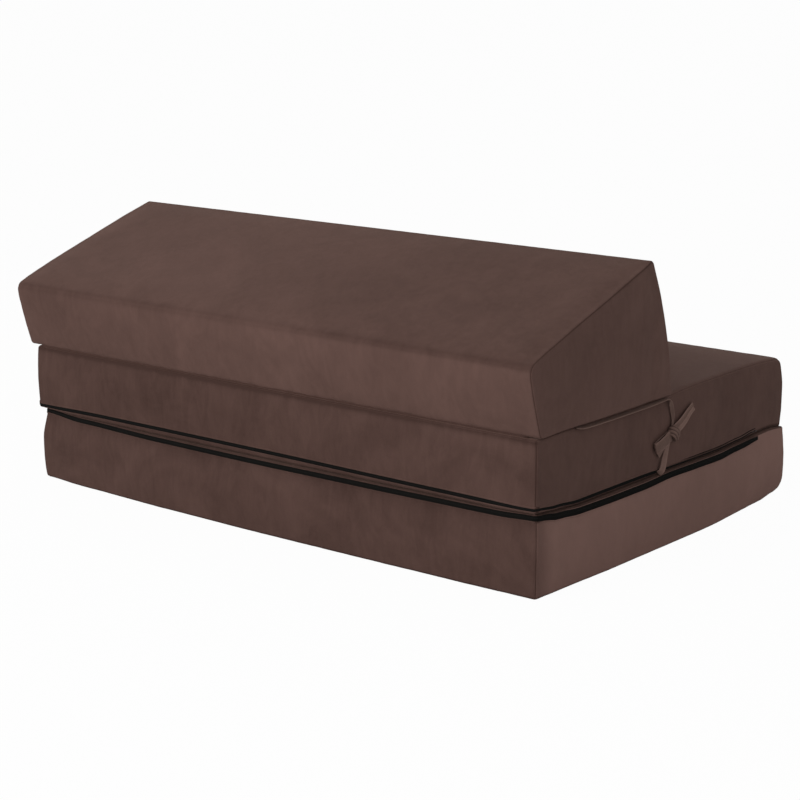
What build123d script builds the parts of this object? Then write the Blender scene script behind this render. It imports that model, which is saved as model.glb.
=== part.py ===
"""A fold-out ottoman guest bed, folded: three foam blocks in zipped covers, joined by two fabric hinges.

The base block lies on the floor, the middle block lies on it, and a wedge lies on the front half of the
middle block. Millimetres. X runs along the bed's width, Y from the front to the rear, Z up, and the origin
is on the floor under the middle of the folded bed.
"""

import os
from math import atan2, degrees, radians, sin, sqrt, tan

from build123d import *

# The blocks
BED_WIDTH = 1200.0
BLOCK_DEPTH = 800.0
BLOCK_THICKNESS = 136.0
SIDE_BULGE = 2.0
FRONT_BULGE = 3.0
CORNER_RADIUS = 6.0
PLAIN_EDGE_RADIUS = 9.0
SEAT_CROWN = 2.0
STACK_GAP = 0.4

# The wedge
WEDGE_BASE = 395.0
WEDGE_OVERHANG = 34.0
WEDGE_SIDE_OVERHANG = 8.0
WEDGE_FRONT_HEIGHT = 121.0
WEDGE_TOP_SETBACK = 72.0
WEDGE_HEIGHT = 246.0
SLOPE_CROWN = 6.0
SLOPE_END_CROWN = 3.0
WEDGE_SIDE_BULGE = 2.5
WEDGE_END_RADIUS = 6.0
TOE_RADIUS = 10.0
HEEL_RADIUS = 7.0
RIDGE_RADIUS = 8.0
BROW_RADIUS = 18.0

# The covers
CLOTH = 1.5
FOAM_CLEARANCE = 0.3
SEAM_GAP = 0.3
SEAM_HEIGHT = 5.0

# The zips
BASE_ZIP_DROP = 7.0
MIDDLE_ZIP_RISE = 11.0
WEDGE_ZIP_RISE = 14.0
ZIP_REAR_MARGIN = 100.0
WEDGE_ZIP_MARGIN = 45.0
TAPE_WIDTH = 3.0
COIL_WIDTH = 2.6
COIL_PROUD = 1.2
COIL_GAP = 0.2
STOP_LENGTH = 3.0
STOP_WIDTH = 4.8
STOP_PROUD = 2.0
STOP_SEAT = 0.3
STOP_BEVEL = 0.6

# The zip sliders and pulls
SLIDER_CLEARANCE = 0.3
SLIDER_LIFT = 0.6
SLIDER_LENGTH = 10.0
SLIDER_NOSE_WIDTH = 7.6
SLIDER_TAIL_WIDTH = 5.6
SLIDER_ROUND = 1.2
SLIDER_PLATE = 1.0
SLIDER_FRONT_MARGIN = 50.0
BAIL_LENGTH = 7.0
BAIL_WIDTH = 2.0
BAIL_BAR = 0.9
BAIL_ROUND = 0.8
BAIL_OPENING = 2.0
PULL_BAR = 1.0
PULL_LENGTH = 17.0
PULL_WIDTH = 6.0
PULL_ROUND = 2.2
PULL_WINDOW_WIDTH = 3.0
PULL_WINDOW_LENGTH = 4.6

# The hinges
HINGE_CLOTH = 1.0
HINGE_LAP = 16.0
FRONT_HINGE_LAP = 6.0
HINGE_END_MARGIN = 18.0
HINGE_CLEARANCE = 0.3
FOLD_CLEARANCE = 0.5

# The ties
TIE_WIDTH = 8.0
TIE_CLOTH = 1.6
TIE_SPACE = 0.4
TIE_STAND_OFF = 3.4
TIE_TAB_DEPTH = 2.0
BASE_TAB_DEPTH = 5.0
WEDGE_TIE_START = 110.0
TIE_CORNER = 398.0
TIE_CORNER_RADIUS = 7.0
KNOT_SETBACK = 401.0
KNOT_DROP = 62.0
KNOT_HEIGHT = 20.0
KNOT_WIDTH = 17.0
KNOT_DEPTH = 11.0
KNOT_BEVEL = 3.0
BASE_TIE_SETBACK = 370.0
BASE_TIE_RISE = 14.0
LOOP_LENGTH = 62.0
LOOP_WIDTH = 15.0
LOOP_ANGLE = 198.0
TAIL_LENGTH = 72.0
TAIL_ANGLE = 27.0
SHORT_END_LENGTH = 56.0
SHORT_END_ANGLE = 232.0

# One overrun serves all cuts
OVERRUN = 60.0
# Levels within a rounded edge, as shares of its radius
EDGE_SHARES = (0.0, 0.1, 0.4)
# Levels up a block's side, each with its share of the bulge
BULGE_SHARES = ((0.0, 0.0), (0.25, 0.75), (0.5, 1.0), (0.75, 0.75), (1.0, 0.0))
# Sections along the wedge's half length, each with its share of the crown's rise
CROWN_SHARES = ((1.0, 0.0), (0.7, 0.5), (0.35, 0.88), (0.0, 1.0))

# Places that follow from the sizes
FRONT_Y = -(BLOCK_DEPTH - WEDGE_OVERHANG) / 2
REAR_Y = FRONT_Y + BLOCK_DEPTH
END_X = BED_WIDTH / 2
WEDGE_END_X = END_X + WEDGE_SIDE_OVERHANG
MIDDLE_Z = BLOCK_THICKNESS + STACK_GAP
SEAT_Z = MIDDLE_Z + BLOCK_THICKNESS
REST_Z = SEAT_Z - SEAT_CROWN
WEDGE_Z = REST_Z + STACK_GAP
ZIP_BAND = COIL_WIDTH + 2 * (TAPE_WIDTH + COIL_GAP)
BASE_ZIP_Z = BLOCK_THICKNESS - BASE_ZIP_DROP
MIDDLE_ZIP_Z = MIDDLE_Z + MIDDLE_ZIP_RISE
ZIP_END_Y = REAR_Y - ZIP_REAR_MARGIN
ZIP_X = END_X - SIDE_BULGE
SLIDER_TOP = COIL_PROUD + SLIDER_CLEARANCE + SLIDER_PLATE
SLIDER_SETBACK = STOP_LENGTH + SLIDER_CLEARANCE + SLIDER_LENGTH / 2
SLIDER_FRONT_END = FRONT_Y + FRONT_BULGE + CORNER_RADIUS + SLIDER_FRONT_MARGIN
SLIDER_TRAVEL = ZIP_END_Y - SLIDER_SETBACK - SLIDER_LENGTH / 2 - SLIDER_FRONT_END
FOLD_Y = REAR_Y + FOLD_CLEARANCE / 2
FOLD_Z = BLOCK_THICKNESS + STACK_GAP / 2
WEDGE_FOLD_Y = FRONT_Y - (WEDGE_OVERHANG + FOLD_CLEARANCE) / 2
WEDGE_FOLD_Z = REST_Z + STACK_GAP / 2
KNOT_Z = REST_Z - KNOT_DROP
KNOT_Y = FRONT_Y + KNOT_SETBACK
TIE_X = END_X + TIE_STAND_OFF


def slab(x0, x1, y0, y1, z0, z1):
    """A straight block between two corners."""
    return Pos((x0 + x1) / 2, (y0 + y1) / 2, (z0 + z1) / 2) * Box(x1 - x0, y1 - y0, z1 - z0)


def level(z0, z1):
    """Everything between two heights."""
    return slab(-END_X - OVERRUN, END_X + OVERRUN, FRONT_Y - OVERRUN, REAR_Y + OVERRUN, z0, z1)


def quarter(radius, height):
    """How far a rounded edge is drawn in at a height above its flat."""
    return radius - sqrt(radius**2 - (radius - height) ** 2)


def plan_outline(z, inset):
    """The outline of a block at one height, its front bowed and its corners rounded."""
    left, right = -END_X + inset, END_X - inset
    front, rear = FRONT_Y + FRONT_BULGE + inset, REAR_Y - inset
    r = CORNER_RADIUS
    turn = r * (1 - 1 / sqrt(2))
    edges = [
        ThreePointArc((left + r, front, z), (0, front - FRONT_BULGE, z), (right - r, front, z)),
        ThreePointArc((right - r, front, z), (right - turn, front + turn, z), (right, front + r, z)),
        Line((right, front + r, z), (right, rear - r, z)),
        ThreePointArc((right, rear - r, z), (right - turn, rear - turn, z), (right - r, rear, z)),
        Line((right - r, rear, z), (left + r, rear, z)),
        ThreePointArc((left + r, rear, z), (left + turn, rear - turn, z), (left, rear - r, z)),
        Line((left, rear - r, z), (left, front + r, z)),
        ThreePointArc((left, front + r, z), (left + turn, front + turn, z), (left + r, front, z)),
    ]
    return Wire(edges)


def block_form(bottom, low_radius, high_radius, inset):
    """A foam block with rounded edges and sides that bulge at mid height, drawn in by inset all round."""
    low, high = low_radius - inset, high_radius - inset
    base, top = bottom + inset, bottom + BLOCK_THICKNESS - inset
    side = top - high - base - low
    levels = [(base + low * s, SIDE_BULGE + quarter(low, low * s)) for s in EDGE_SHARES]
    levels += [(base + low + side * s, SIDE_BULGE * (1 - bulge)) for s, bulge in BULGE_SHARES]
    levels += [(top - high * s, SIDE_BULGE + quarter(high, high * s)) for s in reversed(EDGE_SHARES)]
    return Solid.make_loft([plan_outline(z, drawn + inset) for z, drawn in levels], ruled=True)


def seat_cut(inset):
    """What lies above the middle block's top: flat under the wedge, and a low crown over the seat."""
    flat, crown = REST_Z - inset, SEAT_Z - inset
    start, end = FRONT_Y + WEDGE_BASE, REAR_Y
    sky = SEAT_Z + OVERRUN
    with BuildSketch(Plane.YZ) as profile:
        with BuildLine():
            Line((FRONT_Y - OVERRUN, flat), (start, flat))
            ThreePointArc((start, flat), ((start + end) / 2, crown), (end, flat))
            Polyline((end, flat), (end + OVERRUN, flat), (end + OVERRUN, sky), (FRONT_Y - OVERRUN, sky))
            Line((FRONT_Y - OVERRUN, sky), (FRONT_Y - OVERRUN, flat))
        make_face()
    return extrude(profile.sketch, amount=END_X + OVERRUN, both=True)


def base_form(inset):
    return block_form(0, PLAIN_EDGE_RADIUS, BASE_ZIP_DROP, inset)


def middle_form(inset):
    return block_form(MIDDLE_Z, MIDDLE_ZIP_RISE, PLAIN_EDGE_RADIUS, inset) - seat_cut(inset)


def wedge_corners(inset):
    """The four corners of the wedge's section, as (y, z): toe, heel, ridge and brow, each side moved in."""
    toe = Vector(FRONT_Y, WEDGE_Z)
    heel = Vector(FRONT_Y + WEDGE_BASE, WEDGE_Z)
    ridge = Vector(FRONT_Y + WEDGE_BASE - WEDGE_TOP_SETBACK, WEDGE_Z + WEDGE_HEIGHT)
    brow = Vector(FRONT_Y - WEDGE_OVERHANG, WEDGE_Z + WEDGE_FRONT_HEIGHT)
    corners = [toe, heel, ridge, brow]
    moved = []
    for before, corner, after in zip(corners[-1:] + corners, corners, corners[1:] + corners):
        come, go = (corner - before).normalized(), (after - corner).normalized()
        inward = (go - come).normalized()
        moved.append(corner + inward * (inset / inward.dot(Vector(-go.Y, go.X))))
    return moved


def wedge_outline(x, inset, crown):
    """The wedge's section at one place along it, with bowed sides and rounded corners."""
    corners = wedge_corners(inset)
    radii = [r - inset / 2 for r in (TOE_RADIUS, HEEL_RADIUS, RIDGE_RADIUS, BROW_RADIUS)]
    bulges = [0, WEDGE_SIDE_BULGE, crown, WEDGE_SIDE_BULGE]
    sides = list(zip(corners, corners[1:] + corners[:1], bulges))
    leave, arrive = [], []
    for start, end, bulge in sides:
        along = end - start
        lean = atan2(4 * bulge, along.length)
        leave.append(along.normalized().rotate(Axis.Z, -degrees(lean)))
        arrive.append(along.normalized().rotate(Axis.Z, degrees(lean)))
    rounds = []
    for corner, radius, come, go in zip(corners, radii, arrive[-1:] + arrive, leave):
        half = radians(180 - come.get_angle(go)) / 2
        inward = (go - come).normalized()
        reach = radius / tan(half)
        middle = corner + inward * (radius / sin(half) - radius)
        rounds.append((corner - come * reach, middle, corner + go * reach))
    edges = []
    for (start, end, bulge), here, there in zip(sides, rounds, rounds[1:] + rounds[:1]):
        along = (end - start).normalized()
        middle = (start + end) / 2 + Vector(along.Y, -along.X) * bulge
        points = [(x, point.X, point.Y) for point in (*here, middle, there[0])]
        edges.append(ThreePointArc(*points[:3]))
        edges.append(ThreePointArc(*points[2:]) if bulge else Line(points[2], points[4]))
    return Wire(edges)


def wedge_form(inset):
    """The wedge, with rounded end edges and a slope that is crowned most at mid length."""
    end, r = WEDGE_END_X - inset, WEDGE_END_RADIUS - inset
    half = [(end - r * s, quarter(r, r * s), 0) for s in EDGE_SHARES]
    half += [((end - r) * s, 0, share) for s, share in CROWN_SHARES]
    sections = [(-x, drawn, share) for x, drawn, share in half]
    sections += [section for section in reversed(half) if section[0] > 0]
    rise = SLOPE_CROWN - SLOPE_END_CROWN
    outlines = [wedge_outline(x, drawn + inset, SLOPE_END_CROWN + rise * s) for x, drawn, s in sections]
    return Solid.make_loft(outlines, ruled=True)


def joined(*pieces):
    """Several pieces as the separate solids of one node."""
    return Compound([solid for piece in pieces for solid in piece.solids()])


def corner_seams():
    """Thin upright plates across a block's four corners, where its side panels are sewn together."""
    tall = 2 * (SEAT_Z + OVERRUN)
    plate = Box(2 * OVERRUN, SEAM_GAP, tall)
    front, rear = FRONT_Y + FRONT_BULGE, REAR_Y
    places = [(END_X, front, -45), (-END_X, front, 45), (END_X, rear, 45), (-END_X, rear, -45)]
    return [Pos(x, y, 0) * Rot(0, 0, turn) * plate for x, y, turn in places]


def block_cover(name, form, side_levels, belt_levels, zip_z):
    """A block's cover: panels sewn together at its edges, and a zip round its front and both ends."""
    outer, lining = form(0), form(CLOTH)
    shell = outer - lining
    low, high = side_levels
    side = shell & level(low, high)
    belt_low, belt_high = belt_levels
    belt_rear = ZIP_END_Y + SEAM_GAP
    side -= slab(-END_X - OVERRUN, END_X + OVERRUN, FRONT_Y - OVERRUN, belt_rear, belt_low, belt_high)
    for plate in corner_seams():
        side -= plate
    panels = side.solids()
    pieces = {
        f"{name}_front_panel": min(panels, key=lambda panel: panel.center().Y),
        f"{name}_rear_panel": max(panels, key=lambda panel: panel.center().Y),
        f"{name}_right_end_panel": max(panels, key=lambda panel: panel.center().X),
        f"{name}_left_end_panel": min(panels, key=lambda panel: panel.center().X),
        f"{name}_bottom_panel": shell & level(-OVERRUN, low - SEAM_GAP),
        f"{name}_top_panel": shell & level(high + SEAM_GAP, SEAT_Z + OVERRUN),
    }
    wide, front = END_X + OVERRUN, FRONT_Y - OVERRUN
    edge = zip_z + ZIP_BAND / 2
    upper = slab(-wide, wide, front, ZIP_END_Y, edge - TAPE_WIDTH, edge)
    lower = slab(-wide, wide, front, ZIP_END_Y, edge - ZIP_BAND, edge - ZIP_BAND + TAPE_WIDTH)
    pieces[f"{name}_zip_upper_tape"] = shell & upper
    pieces[f"{name}_zip_lower_tape"] = shell & lower
    coil_end = ZIP_END_Y - STOP_LENGTH - COIL_GAP
    coil = slab(-wide, wide, front, coil_end, zip_z - COIL_WIDTH / 2, zip_z + COIL_WIDTH / 2)
    pieces[f"{name}_zip_coil"] = (form(-COIL_PROUD) & coil) - lining
    stops = [place * stop() for place in (zip_frame(ZIP_END_Y, zip_z), zip_frame(ZIP_END_Y, zip_z, -1))]
    pieces[f"{name}_zip_stops"] = joined(*stops)
    return pieces


def zip_frame(y, zip_z, end=1):
    """A frame on a block's end: x runs towards the rear, z out of the cover."""
    return Plane(origin=(end * ZIP_X, y, zip_z), x_dir=(0, 1, 0), z_dir=(end, 0, 0)).location


def stop():
    """The clamp at a zip's end, with the zip's end at its own x of zero."""
    half = STOP_WIDTH / 2
    block = slab(-STOP_LENGTH, 0, -half, half, STOP_SEAT, STOP_PROUD)
    return chamfer(block.edges().filter_by(Axis.Z), STOP_BEVEL)


def slider():
    """A zip slider about its own middle: x towards the closed end, z out of the cover."""
    half, nose, tail = SLIDER_LENGTH / 2, SLIDER_NOSE_WIDTH / 2, SLIDER_TAIL_WIDTH / 2
    outline = Polygon((-half, -tail), (half, -nose), (half, nose), (-half, tail), align=None)
    outline = fillet(outline.vertices(), SLIDER_ROUND)
    body = extrude(Pos(0, 0, SLIDER_LIFT) * outline, amount=SLIDER_TOP - SLIDER_LIFT)
    groove = COIL_WIDTH / 2 + SLIDER_CLEARANCE
    body -= slab(-SLIDER_LENGTH, SLIDER_LENGTH, -groove, groove, 0, SLIDER_TOP - SLIDER_PLATE)
    reach, width = BAIL_LENGTH / 2, BAIL_WIDTH / 2
    bail = slab(-reach, reach, -width, width, SLIDER_TOP, SLIDER_TOP + BAIL_OPENING + BAIL_BAR)
    bail = fillet(bail.edges().filter_by(Axis.Y).group_by(Axis.Z)[-1], BAIL_ROUND)
    inside = reach - BAIL_BAR
    bail -= slab(-inside, inside, -BAIL_WIDTH, BAIL_WIDTH, SLIDER_TOP, SLIDER_TOP + BAIL_OPENING)
    return body + bail


def pull():
    """A slider's pull, lying towards the closed end, its end bar under the slider's bail."""
    half, bar = PULL_WIDTH / 2, PULL_BAR / 2
    outline = Polygon((-bar, -half), (PULL_LENGTH, -half), (PULL_LENGTH, half), (-bar, half), align=None)
    outline = fillet(outline.vertices().group_by(Axis.X)[-1], PULL_ROUND)
    middle = SLIDER_TOP + BAIL_OPENING / 2
    plate = extrude(Pos(0, 0, middle - bar) * outline, amount=PULL_BAR)
    side = PULL_WINDOW_WIDTH / 2
    return plate - slab(bar, bar + PULL_WINDOW_LENGTH, -side, side, 0, 2 * middle)


def base_cover():
    edge = BASE_ZIP_Z + ZIP_BAND / 2
    levels = (SEAM_HEIGHT + SEAM_GAP, edge)
    belt = (edge - ZIP_BAND - SEAM_GAP, edge + SEAM_GAP)
    return block_cover("base", base_form, levels, belt, BASE_ZIP_Z)


def middle_cover():
    edge = MIDDLE_ZIP_Z - ZIP_BAND / 2
    levels = (edge, SEAT_Z - SEAM_HEIGHT - SEAM_GAP)
    belt = (edge - SEAM_GAP, edge + ZIP_BAND + SEAM_GAP)
    return block_cover("middle", middle_form, levels, belt, MIDDLE_ZIP_Z)


def back_frame(x):
    """A frame low on the wedge's back, on its zip: x towards the right end, z out of the cover."""
    heel, ridge = wedge_corners(0)[1:3]
    rise = (ridge - heel).normalized()
    out = Vector(rise.Y, -rise.X)
    length = (ridge - heel).length
    place = WEDGE_ZIP_RISE / rise.Y
    share = place / length
    point = heel + rise * place + out * (4 * WEDGE_SIDE_BULGE * share * (1 - share))
    tilt = 4 * WEDGE_SIDE_BULGE * (1 - 2 * share) / length
    out = (out - rise * tilt).normalized()
    return Plane(origin=(x, point.X, point.Y), x_dir=(1, 0, 0), z_dir=(0, out.X, out.Y)).location


def wedge_seams():
    """Thin plates along the wedge's toe, heel and ridge, where its long panels are sewn together."""
    corners = wedge_corners(0)
    plates = []
    for before, corner, after in zip(corners[-1:] + corners, corners[:3], corners[1:]):
        inward = ((after - corner).normalized() - (corner - before).normalized()).normalized()
        across = (0, -inward.Y, inward.X)
        place = Plane(origin=(0, corner.X, corner.Y), x_dir=(1, 0, 0), z_dir=across).location
        plates.append(place * Box(2 * (WEDGE_END_X + OVERRUN), 2 * OVERRUN, SEAM_GAP))
    return plates


def wedge_cover():
    """The wedge's cover, with a zip low on its back."""
    outer, lining = wedge_form(0), wedge_form(CLOTH)
    shell = outer - lining
    low, high = WEDGE_Z - OVERRUN, WEDGE_Z + WEDGE_HEIGHT + OVERRUN
    front = FRONT_Y - WEDGE_OVERHANG - OVERRUN
    seam, far = WEDGE_END_X - SEAM_HEIGHT, WEDGE_END_X + OVERRUN
    wrap = shell & slab(SEAM_GAP - seam, seam - SEAM_GAP, front, REAR_Y, low, high)
    for plate in wedge_seams():
        wrap -= plate
    long_panels = wrap.solids()
    back = max(long_panels, key=lambda panel: panel.center().Y)
    base = min(long_panels, key=lambda panel: panel.center().Z)
    slope = max(long_panels, key=lambda panel: panel.volume)
    zip_half, band = WEDGE_END_X - WEDGE_ZIP_MARGIN, ZIP_BAND / 2
    place = back_frame(0)
    deep, tall = 2 * CLOTH, 2 * COIL_PROUD
    reach = zip_half + SEAM_GAP
    back -= place * slab(-reach, reach, -band - SEAM_GAP, band + SEAM_GAP, -deep, tall)
    upper = place * slab(-zip_half, zip_half, -band, TAPE_WIDTH - band, -deep, tall)
    lower = place * slab(-zip_half, zip_half, band - TAPE_WIDTH, band, -deep, tall)
    coil_half, side = zip_half - STOP_LENGTH - COIL_GAP, COIL_WIDTH / 2
    coil = place * slab(-coil_half, coil_half, -side, side, -deep, tall)
    left_stop = back_frame(-zip_half) * Rot(0, 0, 180) * stop()
    return {
        "wedge_slope_panel": slope,
        "wedge_back_panel": back,
        "wedge_base_panel": base,
        "wedge_right_end_panel": shell & slab(seam, far, front, REAR_Y, low, high),
        "wedge_left_end_panel": shell & slab(-far, -seam, front, REAR_Y, low, high),
        "wedge_zip_upper_tape": shell & upper,
        "wedge_zip_lower_tape": shell & lower,
        "wedge_zip_coil": (wedge_form(-COIL_PROUD) & coil) - lining,
        "wedge_zip_stops": joined(back_frame(zip_half) * stop(), left_stop),
    }


def sliders():
    """Each zip's slider and pull, at the closed end."""
    rest = ZIP_END_Y - SLIDER_SETBACK
    places = {
        "base": zip_frame(rest, BASE_ZIP_Z),
        "middle": zip_frame(rest, MIDDLE_ZIP_Z),
        "wedge": back_frame(WEDGE_END_X - WEDGE_ZIP_MARGIN - SLIDER_SETBACK),
    }
    pieces = {f"{name}_zip_slider": place * slider() for name, place in places.items()}
    pieces |= {f"{name}_zip_pull": place * pull() for name, place in places.items()}
    return pieces


def hinge_leaf(form, y0, y1, z0, z1):
    """One half of a fabric hinge, lying on a block between two heights."""
    half = END_X - HINGE_END_MARGIN
    outer = form(-HINGE_CLEARANCE - HINGE_CLOTH) & slab(-half, half, y0, y1, z0, z1)
    return outer - form(-HINGE_CLEARANCE)


def hinges():
    """The fabric hinges: behind, between base and middle, and in front, between middle and wedge."""
    rear, front = (REAR_Y - OVERRUN, REAR_Y + OVERRUN), (FRONT_Y - OVERRUN, FRONT_Y + OVERRUN)
    return {
        "rear_hinge_lower_leaf": hinge_leaf(base_form, *rear, BLOCK_THICKNESS - HINGE_LAP, BLOCK_THICKNESS),
        "rear_hinge_upper_leaf": hinge_leaf(middle_form, *rear, MIDDLE_Z, MIDDLE_Z + HINGE_LAP),
        "front_hinge_lower_leaf": hinge_leaf(middle_form, *front, REST_Z - FRONT_HINGE_LAP, REST_Z),
        "front_hinge_upper_leaf": hinge_leaf(wedge_form, *front, WEDGE_Z, WEDGE_Z + FRONT_HINGE_LAP),
    }


def ribbon(points, radius, width):
    """A flat ribbon beside the right end, along points given as (setback from the front, height)."""
    path = FilletPolyline(*[(FRONT_Y + y, z) for y, z in points], radius=radius)
    beside = Plane(origin=(TIE_X, 0, 0), x_dir=(0, 1, 0), z_dir=(1, 0, 0))
    return extrude(beside * trace(path, width), TIE_CLOTH)


def wedge_tie():
    """The right tie's upper part: out of the wedge's bottom seam, along the seam, and down to the knot."""
    top = WEDGE_Z - STACK_GAP
    run = top - TIE_WIDTH / 2
    knot_top = KNOT_Z + KNOT_HEIGHT / 2 + STACK_GAP
    points = [(WEDGE_TIE_START, run), (TIE_CORNER, run), (TIE_CORNER, knot_top)]
    start = FRONT_Y + WEDGE_TIE_START
    outer = TIE_X + TIE_CLOTH
    tab = slab(TIE_X - TIE_TAB_DEPTH, outer, start, start + TIE_WIDTH, top - TIE_CLOTH, top)
    return ribbon(points, TIE_CORNER_RADIUS, TIE_WIDTH) + tab


def base_tie():
    """The right tie's lower part: out of the base's top seam and up to the knot."""
    foot = BLOCK_THICKNESS - quarter(BASE_ZIP_DROP, BASE_TAB_DEPTH - SIDE_BULGE) + STACK_GAP
    bend = foot + BASE_TIE_RISE
    points = [(BASE_TIE_SETBACK, foot), (BASE_TIE_SETBACK, bend), (KNOT_SETBACK, KNOT_Z)]
    band = ribbon(points, TIE_CORNER_RADIUS, TIE_WIDTH)
    band &= level(foot, KNOT_Z - KNOT_HEIGHT / 2 - STACK_GAP)
    start = FRONT_Y + BASE_TIE_SETBACK - TIE_WIDTH / 2
    outer = TIE_X + TIE_CLOTH
    tab = slab(END_X - BASE_TAB_DEPTH, outer, start, start + TIE_WIDTH, foot, foot + TIE_CLOTH)
    return band + tab


def tie_bow():
    """The right tie's bow: a knot, a folded loop, a long tail and a short end."""
    inner = END_X + STACK_GAP
    half_wide, half_high = KNOT_WIDTH / 2, KNOT_HEIGHT / 2
    bow = slab(
        inner,
        inner + KNOT_DEPTH,
        KNOT_Y - half_wide,
        KNOT_Y + half_wide,
        KNOT_Z - half_high,
        KNOT_Z + half_high,
    )
    bow = chamfer(bow.edges(), KNOT_BEVEL)
    step = TIE_CLOTH + TIE_SPACE
    centre = Pos(TIE_X + step, KNOT_Y, KNOT_Z)
    half = TIE_WIDTH / 2
    for angle, length in ((TAIL_ANGLE, TAIL_LENGTH), (SHORT_END_ANGLE, SHORT_END_LENGTH)):
        bow += centre * Rot(angle, 0, 0) * slab(0, TIE_CLOTH, 0, length, -half, half)
    middle = step + TIE_CLOTH + TIE_SPACE / 2
    loop_half = LOOP_WIDTH / 2
    profile = SlotOverall(LOOP_LENGTH, 2 * TIE_CLOTH + TIE_SPACE)
    profile -= SlotOverall(LOOP_LENGTH - 2 * TIE_CLOTH, TIE_SPACE)
    lying = Plane(origin=(middle, LOOP_LENGTH / 2, 0), x_dir=(0, 1, 0), z_dir=(0, 0, 1))
    loop = extrude(lying * profile, amount=loop_half, both=True)
    return bow + Pos(TIE_X, KNOT_Y, KNOT_Z) * Rot(LOOP_ANGLE, 0, 0) * loop


def ties():
    """The ties on both ends."""
    pieces = {}
    for name, piece in (("wedge_tie", wedge_tie()), ("base_tie", base_tie()), ("tie_bow", tie_bow())):
        pieces[f"right_{name}"] = piece
        pieces[f"left_{name}"] = mirror(piece, about=Plane.YZ)
    return pieces


def cores():
    """The foam blocks inside the covers."""
    inset = CLOTH + FOAM_CLEARANCE
    return {
        "base_foam_core": base_form(inset),
        "middle_foam_core": middle_form(inset),
        "wedge_foam_core": wedge_form(inset),
    }


def build():
    pieces = cores() | base_cover() | middle_cover() | wedge_cover()
    return pieces | sliders() | hinges() | ties()


if __name__ == "__main__":
    os.makedirs("parts", exist_ok=True)
    for node, piece in build().items():
        export_step(joined(piece), f"parts/{node}.step")
    print("rear fold axis", FOLD_Y, FOLD_Z)
    print("front fold axis", WEDGE_FOLD_Y, WEDGE_FOLD_Z)
    print("slider travel on a block", SLIDER_TRAVEL)
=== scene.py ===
"""A fold-out ottoman guest bed in brown velvet, folded: two foam blocks, a wedge, zips, hinges and ties."""

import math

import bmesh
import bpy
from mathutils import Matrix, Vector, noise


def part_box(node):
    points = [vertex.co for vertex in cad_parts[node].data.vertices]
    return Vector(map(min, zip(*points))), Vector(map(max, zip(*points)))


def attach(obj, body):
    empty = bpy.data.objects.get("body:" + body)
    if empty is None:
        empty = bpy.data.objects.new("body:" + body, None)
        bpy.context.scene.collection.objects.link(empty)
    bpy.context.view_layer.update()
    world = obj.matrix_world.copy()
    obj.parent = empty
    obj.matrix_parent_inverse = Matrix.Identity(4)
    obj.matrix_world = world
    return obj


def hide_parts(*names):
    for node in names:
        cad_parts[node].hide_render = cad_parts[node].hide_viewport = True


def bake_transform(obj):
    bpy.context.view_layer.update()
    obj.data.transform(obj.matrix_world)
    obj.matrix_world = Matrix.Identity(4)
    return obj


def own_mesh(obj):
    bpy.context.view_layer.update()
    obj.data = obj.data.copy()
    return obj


bl_info = {
    "name": "Folding guest bed",
    "version": (1, 0, 0),
    "blender": (4, 5, 0),
    "location": "3D View > Sidebar > Guest bed",
    "description": "Builds the soft covers, zips, hinges and ties of a folding guest bed round its frame",
    "category": "Object",
}

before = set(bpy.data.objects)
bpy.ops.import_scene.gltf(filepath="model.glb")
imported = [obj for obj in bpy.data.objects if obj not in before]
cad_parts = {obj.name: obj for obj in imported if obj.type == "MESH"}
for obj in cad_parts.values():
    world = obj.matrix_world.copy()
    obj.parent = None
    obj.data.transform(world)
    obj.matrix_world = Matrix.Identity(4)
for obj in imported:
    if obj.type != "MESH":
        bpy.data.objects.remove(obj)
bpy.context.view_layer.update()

MM = 0.001

# Places that the frame gives
BASE_LOW = Vector((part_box("base_left_end_panel")[0].x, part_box("base_front_panel")[0].y, 0))
BASE_HIGH = Vector((-BASE_LOW.x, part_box("base_rear_panel")[1].y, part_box("base_top_panel")[1].z))
END_X, FRONT_Y, REAR_Y = BASE_HIGH.x, BASE_LOW.y, BASE_HIGH.y
CONTACT_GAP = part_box("middle_bottom_panel")[0].z - BASE_HIGH.z
WEDGE_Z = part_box("wedge_base_panel")[0].z
REST_Z = WEDGE_Z - CONTACT_GAP
MIDDLE_LOW = Vector((BASE_LOW.x, FRONT_Y, BASE_HIGH.z + CONTACT_GAP))
MIDDLE_HIGH = Vector((END_X, REAR_Y, REST_Z))
ZIP_REAR_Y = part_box("base_zip_upper_tape")[1].y
WEDGE_END_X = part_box("wedge_right_end_panel")[1].x
WEDGE_ZIP_Z = (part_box("wedge_zip_coil")[0].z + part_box("wedge_zip_coil")[1].z) / 2
WEDGE_ZIP_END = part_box("wedge_zip_upper_tape")[1].x

# Forms of the covers
CORNER_RADIUS = 6 * MM
SIDE_BOW = 2.0 * MM
WEDGE_FRONT_BOW = 2.5 * MM
WEDGE_BACK_BOW = 9 * MM
WEDGE_BACK = 395 * MM
WEDGE_FRONT_HEIGHT = 121 * MM
WEDGE_TOP_SETBACK = 72 * MM
WEDGE_HEIGHT = 248 * MM
WEDGE_OVERHANG = 34 * MM
WEDGE_END_RADIUS = 5 * MM
SLOPE_CROWN = (3 * MM, 6 * MM)
SEAT_RISE = 6 * MM
TOE_SINK = 2.5 * MM
HINGE_THICKNESS = 1 * MM

# How far the sink under the wedge's toe reaches back, and the meeting line's waves reach in and up
TOE_REACH = 70 * MM
MEET_FADE = 90 * MM
LIFT_FADE = 110 * MM

# In millimetres: how deep into a block its front and rear are pushed out, and the steps between loops
SIDE_DEPTH = 300
LOOP_STEP, BLOCK_HEIGHT_STEP, WEDGE_HEIGHT_STEP = 15, 12, 13

ZIP_STEP = 14 * MM
SIMULATED_FRAMES = 16

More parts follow.
